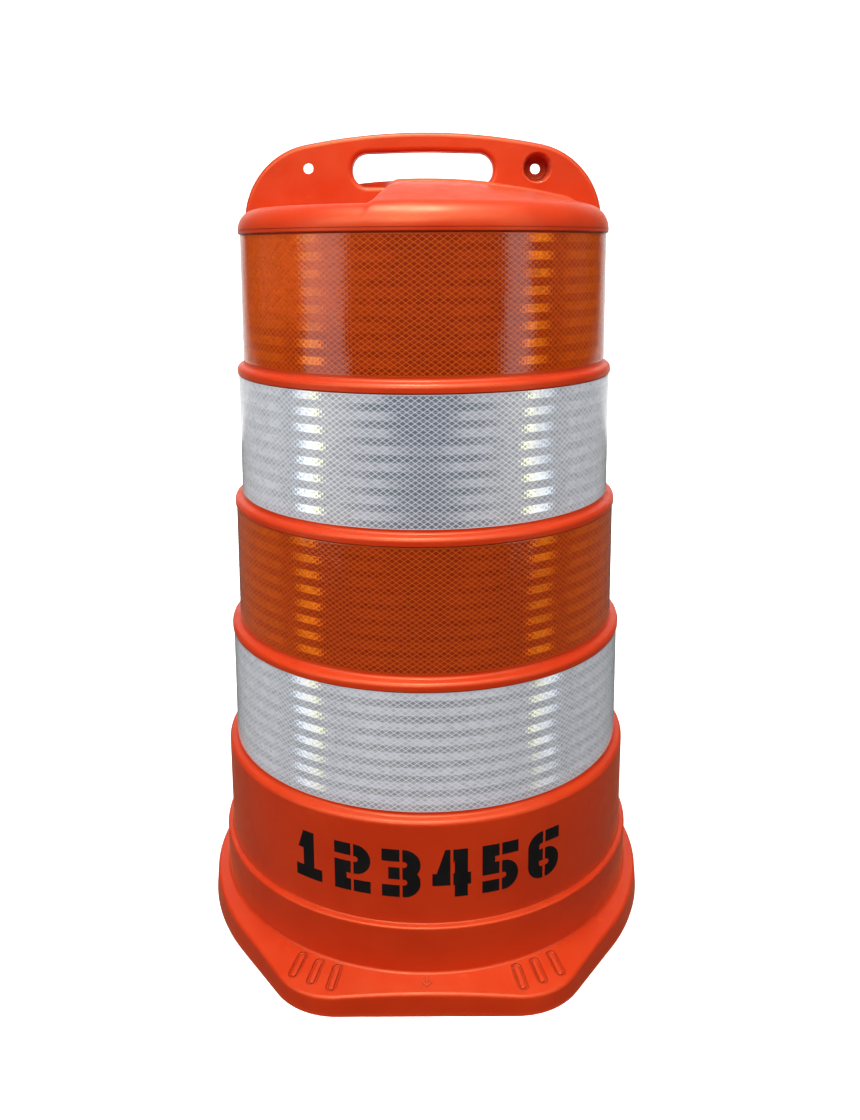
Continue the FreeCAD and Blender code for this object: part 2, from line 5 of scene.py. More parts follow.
import bmesh
import bpy
import numpy as np
from mathutils import Euler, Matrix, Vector


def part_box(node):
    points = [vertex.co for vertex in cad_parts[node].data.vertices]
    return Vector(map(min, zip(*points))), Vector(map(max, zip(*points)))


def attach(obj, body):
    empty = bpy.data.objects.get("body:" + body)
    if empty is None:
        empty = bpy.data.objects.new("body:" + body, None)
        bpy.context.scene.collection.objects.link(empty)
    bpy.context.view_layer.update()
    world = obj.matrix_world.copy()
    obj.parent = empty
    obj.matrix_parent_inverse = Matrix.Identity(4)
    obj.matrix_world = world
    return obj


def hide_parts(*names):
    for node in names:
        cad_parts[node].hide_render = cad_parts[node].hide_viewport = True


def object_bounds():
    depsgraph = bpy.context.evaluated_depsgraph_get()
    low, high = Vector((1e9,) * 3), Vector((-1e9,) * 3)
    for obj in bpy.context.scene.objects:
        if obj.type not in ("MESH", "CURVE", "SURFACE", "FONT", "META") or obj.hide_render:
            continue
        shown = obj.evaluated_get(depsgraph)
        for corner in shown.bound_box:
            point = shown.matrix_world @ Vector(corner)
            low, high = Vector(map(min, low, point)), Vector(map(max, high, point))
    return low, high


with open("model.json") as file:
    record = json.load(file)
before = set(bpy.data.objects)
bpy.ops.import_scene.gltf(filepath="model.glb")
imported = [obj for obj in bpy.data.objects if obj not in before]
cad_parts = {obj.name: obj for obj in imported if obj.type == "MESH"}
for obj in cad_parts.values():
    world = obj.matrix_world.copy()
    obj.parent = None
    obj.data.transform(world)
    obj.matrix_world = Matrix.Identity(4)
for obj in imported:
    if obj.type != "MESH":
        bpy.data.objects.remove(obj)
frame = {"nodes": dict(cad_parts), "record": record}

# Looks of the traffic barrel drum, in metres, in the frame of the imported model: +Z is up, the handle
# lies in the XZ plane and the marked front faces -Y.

CAD_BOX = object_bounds()
MM = 0.001
MOUNTS = {mount["name"]: mount for mount in frame["record"]["mounts"]}

# Shell
WALL = 2.5 * MM
FLASH_PROUD = 0.3 * MM  # ridge left along the mould's parting plane
FLASH_HALF_WIDTH = 0.7 * MM
TRIM_WAVE = 0.5 * MM  # how uneven the knife-trimmed bottom edge is
TRIM_WAVES = ((7, 0.4, 1.0), (17, 1.9, 0.6), (41, 0.7, 0.4))  # times round the drum, start, share
SHELL_CREASE = math.radians(32)  # edges sharper than this are shaded as edges
FILM_CREASE = math.radians(40)

# Tiers
BANDS = ("upper_orange", "upper_white", "lower_orange", "lower_white")
BACKING_FILM = 0.15 * MM
FACE_FILM = 0.30 * MM
SHEETING = BACKING_FILM + FACE_FILM
LAP = 25.4 * MM
BEAD_PROUD = 1.5 * MM
BAND_STEP = 0.8 * MM
GAP_CREASE_DROP = 5.0 * MM
GAP_CREASE_ROUND = 4.0 * MM
BEAD_DROP = 8.6 * MM
BEAD_ROUND = 6.5 * MM
MARKED_TIER_RADIUS = 279.6 * MM
MARKED_TIER_FOOT_Z = 98.5 * MM
MARKED_TIER_FOOT_RADIUS = 281.4 * MM
MARKED_TIER_FOOT_ROUND = 2.0 * MM

# Dome and shoulder
SHELF_Z = MOUNTS["lamp_shelf_front"]["pos_m"][2]
SHELF_ROUND = 26.0 * MM
SHOULDER_RADIUS = 235.0 * MM
SHOULDER_Z = SHELF_Z - SHELF_ROUND
LIP_Z = SHOULDER_Z - 3.5 * MM
LIP_ROUND = 1.2 * MM
DOME_ROUND = 30.0 * MM
DOME_RADIUS = 780.0 * MM
STEP_X = -58.0 * MM
STEP_SLOPE = math.tan(math.radians(56))
STEP_FOOT_BLEND = 5.6 * MM
STEP_CREST_BLEND = 7.4 * MM
HANDLE_FILLET = 5.0 * MM  # where the dome sweeps up into the handle's faces
SWEEP_STEPS = (-1.0, 0.0, 0.6, 1.3, 2.1, 3.0, 4.0, 5.0, 6.5)  # rows across it, in mm from the face

# Handle
HANDLE_THICKNESS = 30.0 * MM
HANDLE_HALF_WIDTH = 227.0 * MM
HANDLE_TOP_Z = CAD_BOX[1].z
HANDLE_ARCH_RADIUS = 780.0 * MM
HANDLE_CORNER_RADIUS = 98.0 * MM
HANDLE_FOOT_Z = 921.0 * MM
HANDLE_EDGE_ROUND = 6.0 * MM
GRIP_HALF_WIDTH = 88.75 * MM
GRIP_FLOOR_Z = 968.4 * MM
GRIP_SIDE_Z = 1008.5 * MM
GRIP_CROWN_Z = 1011.0 * MM
GRIP_ROUND = 19.5 * MM
LAMP_HOLE_RADIUS = 6.35 * MM
LAMP_HOLE_X = MOUNTS["lamp_bolt_right"]["pos_m"][0]
LAMP_HOLE_Z = MOUNTS["lamp_bolt_right"]["pos_m"][2]
LAMP_CUP_RADIUS = 17.0 * MM
LAMP_CUP_FLOOR_RADIUS = 14.5 * MM
LAMP_CUP_LIP_ROUND = 2.5 * MM
LAMP_CUP_FLOOR_ROUND = 3.0 * MM

# Ballast collar and flange
COLLAR_TOP_Z = 97.0 * MM
COLLAR_RADIUS = 289.5 * MM
COLLAR_FOOT_Z = 35.0 * MM
COLLAR_LEDGE_ROUND = 3.0 * MM
COLLAR_FOOT_ROUND = 4.0 * MM
FLANGE_SLOPE = 0.2
FLANGE_EDGE_ROUND = 5.0 * MM
FLANGE_FRONT = CAD_BOX[1].y
FLANGE_SIDE_OFFSET = 39.0 * MM
FLANGE_SIDE_RADIUS = 348.0 * MM
FLANGE_CORNER_ANGLE = math.radians(53.7)
FLANGE_CORNER_RADIUS = 95.0 * MM
SKIRT_DRAFT = 0.1
TOE_GRIP_AZIMUTHS = (21.3, 26.1, 30.9)
TOE_GRIP_FAN = 0.6
TOE_GRIP_CENTRE_RADIUS = 312.5 * MM
TOE_GRIP_LENGTH = 39.0 * MM
TOE_GRIP_WIDTH = 13.0 * MM
TOE_GRIP_DEPTH = 2.5 * MM
TOE_GRIP_LIP_ROUND = 1.2 * MM
TOE_GRIP_GROOVE = 3.6 * MM  # width of the deep groove round each slot's raised middle
TOE_GRIP_PAD_DROP = 0.7 * MM
ARROW_RADIUS = 301.5 * MM
ARROW_LENGTH = 15.0 * MM
ARROW_HALF_WIDTH = 6.0 * MM
ARROW_LINE = 2.0 * MM
ARROW_PROUD = 0.8 * MM
ARROW_SOFT = 0.25 * MM

# Sheeting lattice: diamond cells between sealed lines
CELL_WIDTH = 9.1 * MM
CELLS_HIGH = 24
PRISM_ROW = 1.5  # height, in cells, of one horizontal row of prisms that all face the same way
LINE_SHARE = 0.14  # width of a sealed line as a share of the spacing of the lines
CELL_RELIEF = 0.05 * MM  # how far a cell stands above its sealed lines

CLEAR = 1.0 * MM  # how far a cutting tool runs past the face it opens
SAME_PLACE = 1e-6  # lengths and slopes smaller than this are none
FLAT_TURN = 1e-3  # corners that turn less than this aren't rounded

# Fineness of the meshes
COLUMNS = 576  # round the drum
DOME_ROWS = 90
SHOULDER_ROWS = 14
FLANGE_ROWS = 8
SKIRT_ROWS = 5
FOLD_STEP = math.radians(12)  # longest turn between two points of a rounding
LONGEST_SPAN = 9 * MM  # longest straight step down the wall
ARCH_POINTS = 13
CORNER_POINTS = 25
GRIP_ROUND_STEPS = 14
EDGE_POINTS = 8
CUP_POINTS = 7
SLOT_POINTS = 6
SLOT_END_POINTS = 17
CUP_SEGMENTS = 96
HOLE_SEGMENTS = 64


# ---- meshes


def unit(v):
    return v / np.linalg.norm(v)


def corner_arc(before, corner, after, rounding, steps=None):
    """Points along the arc that rounds a corner, or the corner itself if it has no rounding."""
    back = unit(before - corner)
    ahead = unit(after - corner)
    half = math.acos(np.clip(back @ ahead, -1, 1)) / 2
    room = min(np.linalg.norm(before - corner), np.linalg.norm(after - corner)) * 0.49
    reach = min(rounding / math.tan(half), room)
    radius = reach * math.tan(half)
    turn = math.pi - 2 * half
    if steps is None:
        steps = math.ceil(turn / FOLD_STEP)
    if radius < SAME_PLACE or turn < FLAT_TURN:
        return [corner] * (steps + 1 if rounding else 1)
    centre = corner + unit(back + ahead) * radius / math.sin(half)
    start = corner + back * reach - centre
    side = math.copysign(1, start[1] * back[0] - start[0] * back[1])
    turns = side * np.linspace(0, turn, steps + 1)
    return [
        centre + np.array([start[0] * math.cos(t) - start[1] * math.sin(t),
                           start[0] * math.sin(t) + start[1] * math.cos(t)])
        for t in turns
    ]


def quarter_round(radius, points, first=0.0, last=math.pi / 2):
    """(out, along) round a quarter circle: out falls from the radius to 0 while along rises to it."""
    turns = np.linspace(first, last, points)
    return [(radius * (1 - math.sin(t)), radius * (1 - math.cos(t))) for t in turns]


def rounded_path(corners):
    """An open path through corners of (r, z, rounding), with arcs and short straight steps."""
    points = [np.array(c[:2]) for c in corners]
    knots = [points[0]]
    for before, corner, after, (_, _, rounding) in zip(points, points[1:], points[2:], corners[1:-1]):
        knots += corner_arc(before, corner, after, rounding)
    knots.append(points[-1])
    path = [knots[0]]
    for knot in knots[1:]:
        span = np.linalg.norm(knot - path[-1])
        if span < SAME_PLACE:
            continue
        steps = math.ceil(span / LONGEST_SPAN)
        start = path[-1]
        path += [start + (knot - start) * i / steps for i in range(1, steps + 1)]
    return np.array(path)


def inset_corners(corners, inset):
    """The same corners moved inset to the right of the path, with their roundings kept concentric."""
    points = [np.array(c[:2]) for c in corners]
    ways = [unit(b - a) for a, b in zip(points, points[1:])]
    normals = [np.array([way[1], -way[0]]) for way in ways]
    moved = [(*(points[0] + normals[0] * inset), 0)]
    for i in range(1, len(ways)):
        bend = normals[i - 1] + normals[i]
        shift = bend * (2 * inset / (bend @ bend))
        turns_right = ways[i - 1][0] * ways[i][1] - ways[i - 1][1] * ways[i][0] < 0
        rounding = corners[i][2] + (-inset if turns_right else inset)
        moved.append((*(points[i] + shift), max(rounding, 0)))
    moved.append((*(points[-1] + normals[-1] * inset), 0))
    return moved


def in_scene(name, data):
    """A new object in the scene."""
    thing = bpy.data.objects.new(name, data)
    bpy.context.scene.collection.objects.link(thing)
    return thing


def mesh_object(name, vertices, faces, smooth_angle=None):
    """A new object from points and faces, with its normals facing outward."""
    mesh = bpy.data.meshes.new(name)
    corners = [tuple(map(float, vertex)) for vertex in vertices]
    mesh.from_pydata(corners, [], [tuple(map(int, face)) for face in faces])
    work = bmesh.new()
    work.from_mesh(mesh)
    bmesh.ops.recalc_face_normals(work, faces=work.faces)
    work.to_mesh(mesh)
    work.free()
    mesh.validate()
    thing = in_scene(name, mesh)
    if smooth_angle is not None:
        shade_smooth(thing, smooth_angle)
    return thing


def shade_smooth(thing, angle):
    """Smooth shading that keeps edges sharper than the angle."""
    thing.data.shade_smooth()
    thing.data.set_sharp_from_angle(angle=angle)


def loft(rings, closed_ends=True):
    """Vertices and faces of a skin through rings of equal length, with its end rings filled."""
    count = len(rings[0])
    vertices = np.concatenate(rings)
    faces = []
    for row in range(len(rings) - 1):
        for i in range(count):
            j = (i + 1) % count
            low = row * count
            faces.append((low + i, low + j, low + count + j, low + count + i))
    if closed_ends:
        faces.append(tuple(range(count)))
        faces.append(tuple(range(len(vertices) - count, len(vertices))))
    return vertices, faces


def combine(target, operation, *tools):
    """Boolean of a closed mesh with closed tools that don't touch each other. Uses up the tools."""
    together = bmesh.new()
    for tool in tools:
        together.from_mesh(tool.data)
    together.to_mesh(tools[0].data)
    together.free()
    step = target.modifiers.new("combine", "BOOLEAN")
    step.operation = operation
    step.solver = "MANIFOLD"
    step.object = tools[0]
    bake_modifiers(target)
    for tool in tools:
        bpy.data.objects.remove(tool)


def bake_modifiers(thing):
    """Replaces a thing's mesh with the result of its modifiers."""
    view = bpy.context.evaluated_depsgraph_get()
    made = bpy.data.meshes.new_from_object(thing.evaluated_get(view))
    thing.modifiers.clear()
    thing.data = made


# ---- shell


def node_radius(node, top):
    """Outer radius of a film at its top or bottom edge, on the front half, away from the lap."""
    low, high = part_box(node)
    level = high.z if top else low.z
    return max(
        math.hypot(v.co.x, v.co.y)
        for v in frame["nodes"][node].data.vertices
        if v.co.y < 0 and abs(v.co.z - level) < 0.1 * MM
    )


def band_edges(band):
    """(top z, foot z, top radius, foot radius) of a band's sheeting, at its outer face."""
    node = band + "_face_film"
    low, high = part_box(node)
    return high.z, low.z, node_radius(node, True), node_radius(node, False)


def flange_top_z(radius):
    return COLLAR_FOOT_Z - FLANGE_SLOPE * (radius - COLLAR_RADIUS)


def wall_corners():
    """The outer profile from the lamp shelf down every tier to the middle of the flange."""
    edges = [band_edges(band) for band in BANDS]
    corners = [
        (SHOULDER_RADIUS, SHOULDER_Z + CLEAR, 0),
        (SHOULDER_RADIUS, LIP_Z, LIP_ROUND),
    ]
    beads = [radius + BEAD_PROUD for _, _, radius, _ in edges[1:]] + [MARKED_TIER_RADIUS]
    for index, (top_z, foot_z, top_radius, foot_radius) in enumerate(edges):
        corners += [
            (top_radius - SHEETING, top_z + BAND_STEP, BAND_STEP / 2),
            (foot_radius - SHEETING, foot_z - GAP_CREASE_DROP, GAP_CREASE_ROUND),
            (beads[index], foot_z - BEAD_DROP, BEAD_ROUND),
        ]
        if index + 1 < len(edges):
            corners.append((beads[index], edges[index + 1][0] + 2 * BAND_STEP, BAND_STEP))
    flange_start = COLLAR_RADIUS + 2 * COLLAR_FOOT_ROUND
    corners += [
        (MARKED_TIER_FOOT_RADIUS, MARKED_TIER_FOOT_Z, MARKED_TIER_FOOT_ROUND),
        (COLLAR_RADIUS, COLLAR_TOP_Z, COLLAR_LEDGE_ROUND),
        (COLLAR_RADIUS, COLLAR_FOOT_Z, COLLAR_FOOT_ROUND),
        (flange_start, flange_top_z(flange_start), 0),
    ]
    return corners


def flange_radius(theta, offset):
    """Distance from the axis to the flange's outline in each direction, moved out by offset."""
    across = np.abs(np.cos(theta))
    along = np.abs(np.sin(theta))
    azimuth = np.arctan2(across, along)
    angle = FLANGE_CORNER_ANGLE
    front = FLANGE_FRONT + offset
    corner_radius = FLANGE_CORNER_RADIUS + offset
    side_radius = FLANGE_SIDE_RADIUS + offset
    flat = side_radius - FLANGE_SIDE_OFFSET * math.sin(angle)
    front_end = (flat - front * math.cos(angle)) / math.sin(angle)
    front_end -= corner_radius * math.tan(angle / 2)
    arc_end_x = front_end + corner_radius * math.sin(angle)
    arc_end_y = front - corner_radius * (1 - math.cos(angle))
    side_start_x = side_radius * math.sin(angle) - FLANGE_SIDE_OFFSET
    side_start_y = side_radius * math.cos(angle)

    def far_hit(centre_x, centre_y, radius):
        """Where rays from the axis leave a circle."""
        towards = across * centre_x + along * centre_y
        return towards + np.sqrt(np.maximum(towards**2 + radius**2 - centre_x**2 - centre_y**2, 0))

    return np.select(
        [
            azimuth < math.atan2(front_end, front),
            azimuth < math.atan2(arc_end_x, arc_end_y),
            azimuth < math.atan2(side_start_x, side_start_y),
        ],
        [
            front / np.maximum(along, 1e-9),
            far_hit(front_end, front - corner_radius, corner_radius),
            flat / (across * math.sin(angle) + along * math.cos(angle)),
        ],
        far_hit(-FLANGE_SIDE_OFFSET, 0.0, side_radius),
    )


def soft_min(a, b, blend):
    """The lower of two heights, with the fold between them rounded over the blend height."""
    share = np.clip(0.5 + 0.5 * (b - a) / blend, 0, 1)
    return b + (a - b) * share - blend * share * (1 - share)


def top_height(x, y, inset):
    """Height of the shelf and of the dome, which rises on opposite sides of the handle."""
    r = np.hypot(x, y)
    shelf_round = SHELF_ROUND - inset
    shelf_over = np.clip(r - (SHOULDER_RADIUS - SHELF_ROUND), 0, shelf_round)
    shelf = SHOULDER_Z + np.sqrt(shelf_round**2 - shelf_over**2)
    round_centre = SHOULDER_RADIUS - DOME_ROUND
    reach = DOME_RADIUS - DOME_ROUND
    dome_centre = SHOULDER_Z - math.sqrt(reach**2 - round_centre**2)
    cap_radius = DOME_RADIUS - inset
    cap = dome_centre + np.sqrt(cap_radius**2 - r**2)
    dome_round = DOME_ROUND - inset
    rim_over = np.clip(r - round_centre, -dome_round, dome_round)
    rim = SHOULDER_Z + np.sqrt(dome_round**2 - rim_over**2)
    dome = np.where(r < cap_radius * round_centre / reach, cap, rim)
    into_dome = np.where(y < 0, x, -x) - STEP_X
    step = SHELF_Z - inset * math.hypot(1, STEP_SLOPE) + into_dome * STEP_SLOPE
    raised = soft_min(dome, step, STEP_CREST_BLEND)
    blend = STEP_FOOT_BLEND * np.clip((SHOULDER_RADIUS - inset - r) / SHELF_ROUND, 0.02, 1)
    return -soft_min(-shelf, -raised, blend)


def handle_sweep(x, y):
    """How far the dome sweeps up beside the handle's faces, fading out before the shoulder."""
    gap = np.clip(np.abs(y) - HANDLE_THICKNESS / 2, 0, HANDLE_FILLET)
    rise = HANDLE_FILLET - np.sqrt(HANDLE_FILLET**2 - (HANDLE_FILLET - gap) ** 2)
    return rise * np.clip((SHOULDER_RADIUS - SHELF_ROUND - np.abs(x)) / SHELF_ROUND, 0, 1) ** 2


def column_angles(with_flash):
    """Directions of the shell's columns, closer together at the parting ridge."""
    half = np.linspace(0, math.pi, COLUMNS // 2 + 1)
    if with_flash:
        close = FLASH_HALF_WIDTH / SHOULDER_RADIUS
        half = np.unique(np.concatenate([half, [close, math.pi - close]]))
    return np.concatenate([half, 2 * math.pi - half[-2:0:-1]])


def top_rows(theta, inset):
    """Rows of points over the dome, from beside the handle out to the shoulder."""
    cos, sin = np.cos(theta), np.sin(theta)
    half = HANDLE_THICKNESS / 2
    side = np.sign(np.where(np.abs(sin) < SAME_PLACE, 0, sin))
    outer_radius = SHOULDER_RADIUS - SHELF_ROUND
    start_x = (outer_radius - 2 * HANDLE_FILLET) * cos
    room = np.clip(np.abs(sin) * outer_radius / (2 * half), 0, 1)
    rows = [np.stack([start_x, side * (half + out * MM) * room], axis=1) for out in SWEEP_STEPS]
    last = rows[-1]
    around = np.stack([cos, sin], axis=1)
    rim = outer_radius * around
    rows += [last + (rim - last) * share for share in np.linspace(0, 1, DOME_ROWS + 1)[1:]]
    shelf_round = SHELF_ROUND - inset
    for turn in np.linspace(0, math.pi / 2, SHOULDER_ROWS + 1)[1:]:
        rows.append((outer_radius + shelf_round * math.sin(turn)) * around)
    skins = []
    for row in rows:
        x, y = row.T
        z = top_height(x, y, inset)
        if not inset:
            z = z + handle_sweep(x, y)
        skins.append(np.stack([x, y, z], axis=1))
    return skins


def wall_rows(theta, inset):
    """Rows of points down the tiers and the collar."""
    corners = wall_corners()
    if inset:
        corners = inset_corners(corners, inset)
    path = rounded_path(corners)
    ridge = parting_ridge(theta) if not inset else 0
    return [ring(theta, r + ridge, z) for r, z in path]


def parting_ridge(theta):
    """Height of the parting ridge at each column: proud only in the handle's plane."""
    return np.where(np.abs(np.sin(theta)) < SAME_PLACE, FLASH_PROUD, 0)


def ring(theta, radius, z):
    spread = np.ones_like(theta)
    return np.stack([radius * np.cos(theta), radius * np.sin(theta), z * spread], axis=1)


def flange_rows(theta, inset):
    """Rows of points out along the flange, round its edge and down its skirt."""
    slope_drop = inset * math.hypot(1, FLANGE_SLOPE)
    lean = inset * math.hypot(1, SKIRT_DRAFT)
    radius = flange_radius(theta, -lean)
    for _ in range(4):
        corner_z = flange_top_z(radius) - slope_drop
        radius = flange_radius(theta, -lean) - SKIRT_DRAFT * corner_z
    start = COLLAR_RADIUS + 2 * COLLAR_FOOT_ROUND - inset
    inward = np.array([-3 * FLANGE_EDGE_ROUND, 3 * FLANGE_EDGE_ROUND * FLANGE_SLOPE])
    downward = np.array([2 * FLANGE_EDGE_ROUND * SKIRT_DRAFT, -2 * FLANGE_EDGE_ROUND])
    rounding = max(FLANGE_EDGE_ROUND - inset, CLEAR)
    edge = np.array(corner_arc(inward, np.zeros(2), downward, rounding))
    rows = []
    edge_start = radius + edge[0][0]
    for share in np.linspace(0, 1, FLANGE_ROWS + 1)[1:-1]:
        r = start + (edge_start - start) * share
        rows.append(ring(theta, r, flange_top_z(r) - slope_drop))
    for out, up in edge:
        rows.append(ring(theta, radius + out, corner_z + up))
    foot_r = radius + SKIRT_DRAFT * corner_z
    low_r = radius + edge[-1][0]
    low_z = corner_z + edge[-1][1]
    foot_z = trim_line(theta) if not inset else np.full_like(theta, -3 * CLEAR)
    for share in np.linspace(0, 1, SKIRT_ROWS + 1)[1:]:
        rows.append(ring(theta, low_r + (foot_r - low_r) * share, low_z + (foot_z - low_z) * share))
    return rows


def trim_line(theta):
    """Height of the knife-trimmed bottom edge, which touches the ground only in places."""
    waves = sum(share * np.sin(times * theta + start) for times, start, share in TRIM_WAVES)
    return TRIM_WAVE * np.clip(0.45 + 0.4 * waves, 0, None)


def skin(name, inset):
    """The drum's skin without its handle as a closed solid, moved inward by inset."""
    theta = column_angles(with_flash=not inset)
    rows = top_rows(theta, inset) + wall_rows(theta, inset) + flange_rows(theta, inset)
    count = len(theta)
    vertices, faces = loft(rows, closed_ends=False)
    for i in range(count // 2):
        bridge = (i, i + 1, (count - i - 1) % count, (count - i) % count)
        faces.append(tuple(dict.fromkeys(bridge)))
    last = len(vertices) - count
    floor = np.array([[0, 0, rows[-1][:, 2].min()]])
    for i in range(count):
        faces.append((last + i, last + (i + 1) % count, len(vertices)))
    return mesh_object(name, np.concatenate([vertices, floor]), faces)


# ---- handle


def handle_loop(inset):
    """The arched outline of the handle, moved inward by inset, as (x, z) points."""
    centre_z = HANDLE_TOP_Z - HANDLE_ARCH_RADIUS
    corner_x = HANDLE_HALF_WIDTH - HANDLE_CORNER_RADIUS
    reach = HANDLE_ARCH_RADIUS - HANDLE_CORNER_RADIUS
    corner_z = centre_z + math.sqrt(reach**2 - corner_x**2)
    lean = math.asin(corner_x / reach)

    def arc(x, z, radius, turns):
        return [(x + radius * math.sin(t), z + radius * math.cos(t)) for t in turns]

    half = arc(0, centre_z, HANDLE_ARCH_RADIUS - inset, np.linspace(0, lean, ARCH_POINTS)[:-1])
    corner_turns = np.linspace(lean, math.pi / 2, CORNER_POINTS)
    half += arc(corner_x, corner_z, HANDLE_CORNER_RADIUS - inset, corner_turns)
    half += [(HANDLE_HALF_WIDTH - inset, HANDLE_FOOT_Z), (0, HANDLE_FOOT_Z)]
    return mirrored_loop(half)


def mirrored_loop(half):
    """A whole loop from its right half, which runs from the top middle to the foot middle."""
    return np.array(half + [(-x, z) for x, z in half[-2:0:-1]])


def grip_loop(outset):
    """The outline of the hand opening, grown by outset, as (x, z) points."""
    half_width = GRIP_HALF_WIDTH + outset
    rounding = GRIP_ROUND + outset
    top_z = GRIP_SIDE_Z + outset
    floor_z = GRIP_FLOOR_Z - outset
    crown = np.array((0, GRIP_CROWN_Z + outset))
    left_top, right_top = np.array((-half_width, top_z)), np.array((half_width, top_z))
    left_low, right_low = np.array((-half_width, floor_z)), np.array((half_width, floor_z))
    over = corner_arc(left_top, crown, right_top, HANDLE_ARCH_RADIUS, steps=4)[2:]
    half = [(0, over[0][1])] + over[1:]
    half += corner_arc(crown, right_top, right_low, rounding, GRIP_ROUND_STEPS)
    half += corner_arc(right_top, right_low, left_low, rounding, GRIP_ROUND_STEPS)
    return mirrored_loop([tuple(point) for point in half] + [(0, floor_z)])


def edge_levels(inset, with_flash):
    """(inset, y) levels across the handle's thickness, round its edges."""
    half = HANDLE_THICKNESS / 2 - inset
    rounding = HANDLE_EDGE_ROUND - inset
    front = [(inset + out, -half + along) for out, along in quarter_round(rounding, EDGE_POINTS)]
    middle = []
    if with_flash:
        middle = [(0, -FLASH_HALF_WIDTH), (-FLASH_PROUD, 0), (0, FLASH_HALF_WIDTH)]
    return front + middle + [(offset, -y) for offset, y in front[::-1]]


def handle_plate(name, inset):
    """The handle as a closed solid with rounded edges and a hand opening."""
    levels = edge_levels(inset, with_flash=not inset)
    outlines = [np.insert(handle_loop(offset), 1, y, axis=1) for offset, y in levels]
    openings = [np.insert(grip_loop(offset), 1, y, axis=1) for offset, y in levels]
    outer, outer_faces = loft(outlines, closed_ends=False)
    inner, inner_faces = loft(openings, closed_ends=False)
    faces = outer_faces + [tuple(i + len(outer) for i in face) for face in inner_faces]
    outline_count, opening_count = len(outlines[0]), len(openings[0])
    foot, floor = outline_count // 2, opening_count // 2
    for level in (0, len(levels) - 1):
        rim = [level * outline_count + i for i in range(outline_count)]
        hole = [len(outer) + level * opening_count + i for i in range(opening_count)]
        faces.append(tuple(rim[: foot + 1] + hole[floor::-1]))
        faces.append(tuple(rim[foot:] + rim[:1] + hole[:1] + hole[: floor - 1 : -1]))
    return mesh_object(name, np.concatenate([outer, inner]), faces)


def turned_solid(name, profile, axis_x, axis_z, facing, segments=CUP_SEGMENTS):
    """A solid turned about an axis along Y, from a profile of (radius, y)."""
    turns = np.linspace(0, 2 * math.pi, segments, endpoint=False)
    cos, sin = np.cos(turns), np.sin(turns)
    rings = [
        np.stack([axis_x + r * cos, np.full(segments, facing * y), axis_z + r * sin], axis=1)
        for r, y in profile
    ]
    return mesh_object(name, *loft(rings))


def cup_cutter(side):
    """What a lamp cup takes out of the handle: a flared mouth, a taper and a rounded floor."""
    half = HANDLE_THICKNESS / 2
    lip = LAMP_CUP_LIP_ROUND
    bottom = LAMP_CUP_FLOOR_ROUND
    depth = half - 2 * WALL
    mouth = [
        (LAMP_CUP_RADIUS + out, -half + along)
        for out, along in quarter_round(lip, CUP_POINTS, first=math.radians(12))
    ]
    floor = [
        (LAMP_CUP_FLOOR_RADIUS - along, depth - out)
        for out, along in quarter_round(bottom, CUP_POINTS)
    ]
    outside = [(LAMP_CUP_RADIUS + lip, -half - CLEAR)]
    return turned_solid("cup_cutter", outside + mouth + floor, side * LAMP_HOLE_X, LAMP_HOLE_Z, side)


def cup_wall(side):
    """The block of material round a lamp cup, kept out of the handle's cavity."""
    half = HANDLE_THICKNESS / 2
    profile = [(LAMP_CUP_RADIUS + WALL, -half), (LAMP_CUP_FLOOR_RADIUS + WALL, half)]
    return turned_solid("cup_wall", profile, side * LAMP_HOLE_X, LAMP_HOLE_Z, side)


def lamp_hole(side):
    """The round hole for a lamp's bolt."""
    profile = [(LAMP_HOLE_RADIUS, -HANDLE_THICKNESS), (LAMP_HOLE_RADIUS, HANDLE_THICKNESS)]
    return turned_solid("lamp_hole", profile, side * LAMP_HOLE_X, LAMP_HOLE_Z, 1, HOLE_SEGMENTS)


# ---- flange details


def capsule(offset, height):
    """A slot outline, grown by offset, at a height above the flange."""
    half_width = TOE_GRIP_WIDTH / 2 + offset
    half_run = (TOE_GRIP_LENGTH - TOE_GRIP_WIDTH) / 2
    turns = np.linspace(0, math.pi, SLOT_END_POINTS)
    far = [(half_width * math.cos(t), half_run + half_width * math.sin(t), height) for t in turns]
    near = [(-x, -y, z) for x, y, z in far]
    return np.array(far + near)


def place_on_flange(thing, radius, azimuth, fan):
    """Lays a thing built round the origin on the sloping flange, at an azimuth from the front."""
    turn = math.radians(azimuth)
    tilt = Euler((math.atan(FLANGE_SLOPE), 0, 0)).to_matrix()
    matrix = (Euler((0, 0, turn * fan)).to_matrix() @ tilt).to_4x4()
    matrix.translation = (radius * math.sin(turn), -radius * math.cos(turn), flange_top_z(radius))
    thing.data.transform(matrix)


def toe_grip_solids(name, levels):
    """A slot-shaped solid from (offset, height) levels for each of the twelve toe grips."""
    skins = loft([capsule(offset, height) for offset, height in levels])
    solids = []
    for half_turn in (0, 180):
        for side in (-1, 1):
            for azimuth in TOE_GRIP_AZIMUTHS:
                solid = mesh_object(name, *skins)
                place_on_flange(solid, TOE_GRIP_CENTRE_RADIUS, side * azimuth, TOE_GRIP_FAN)
                solid.data.transform(Euler((0, 0, math.radians(half_turn))).to_matrix().to_4x4())
                solids.append(solid)
    return solids


def toe_grip_cutters():
    """What the toe grips take out of the flange: a rounded lip and a rounded bottom."""
    lip = TOE_GRIP_LIP_ROUND
    levels = [(2 * lip, 4 * CLEAR)]
    levels += [(out, -along) for out, along in quarter_round(lip, SLOT_POINTS, math.radians(10))]
    levels += [(-along, -TOE_GRIP_DEPTH + out) for out, along in quarter_round(lip, SLOT_POINTS)]
    return toe_grip_solids("toe_grip_cutter", levels)


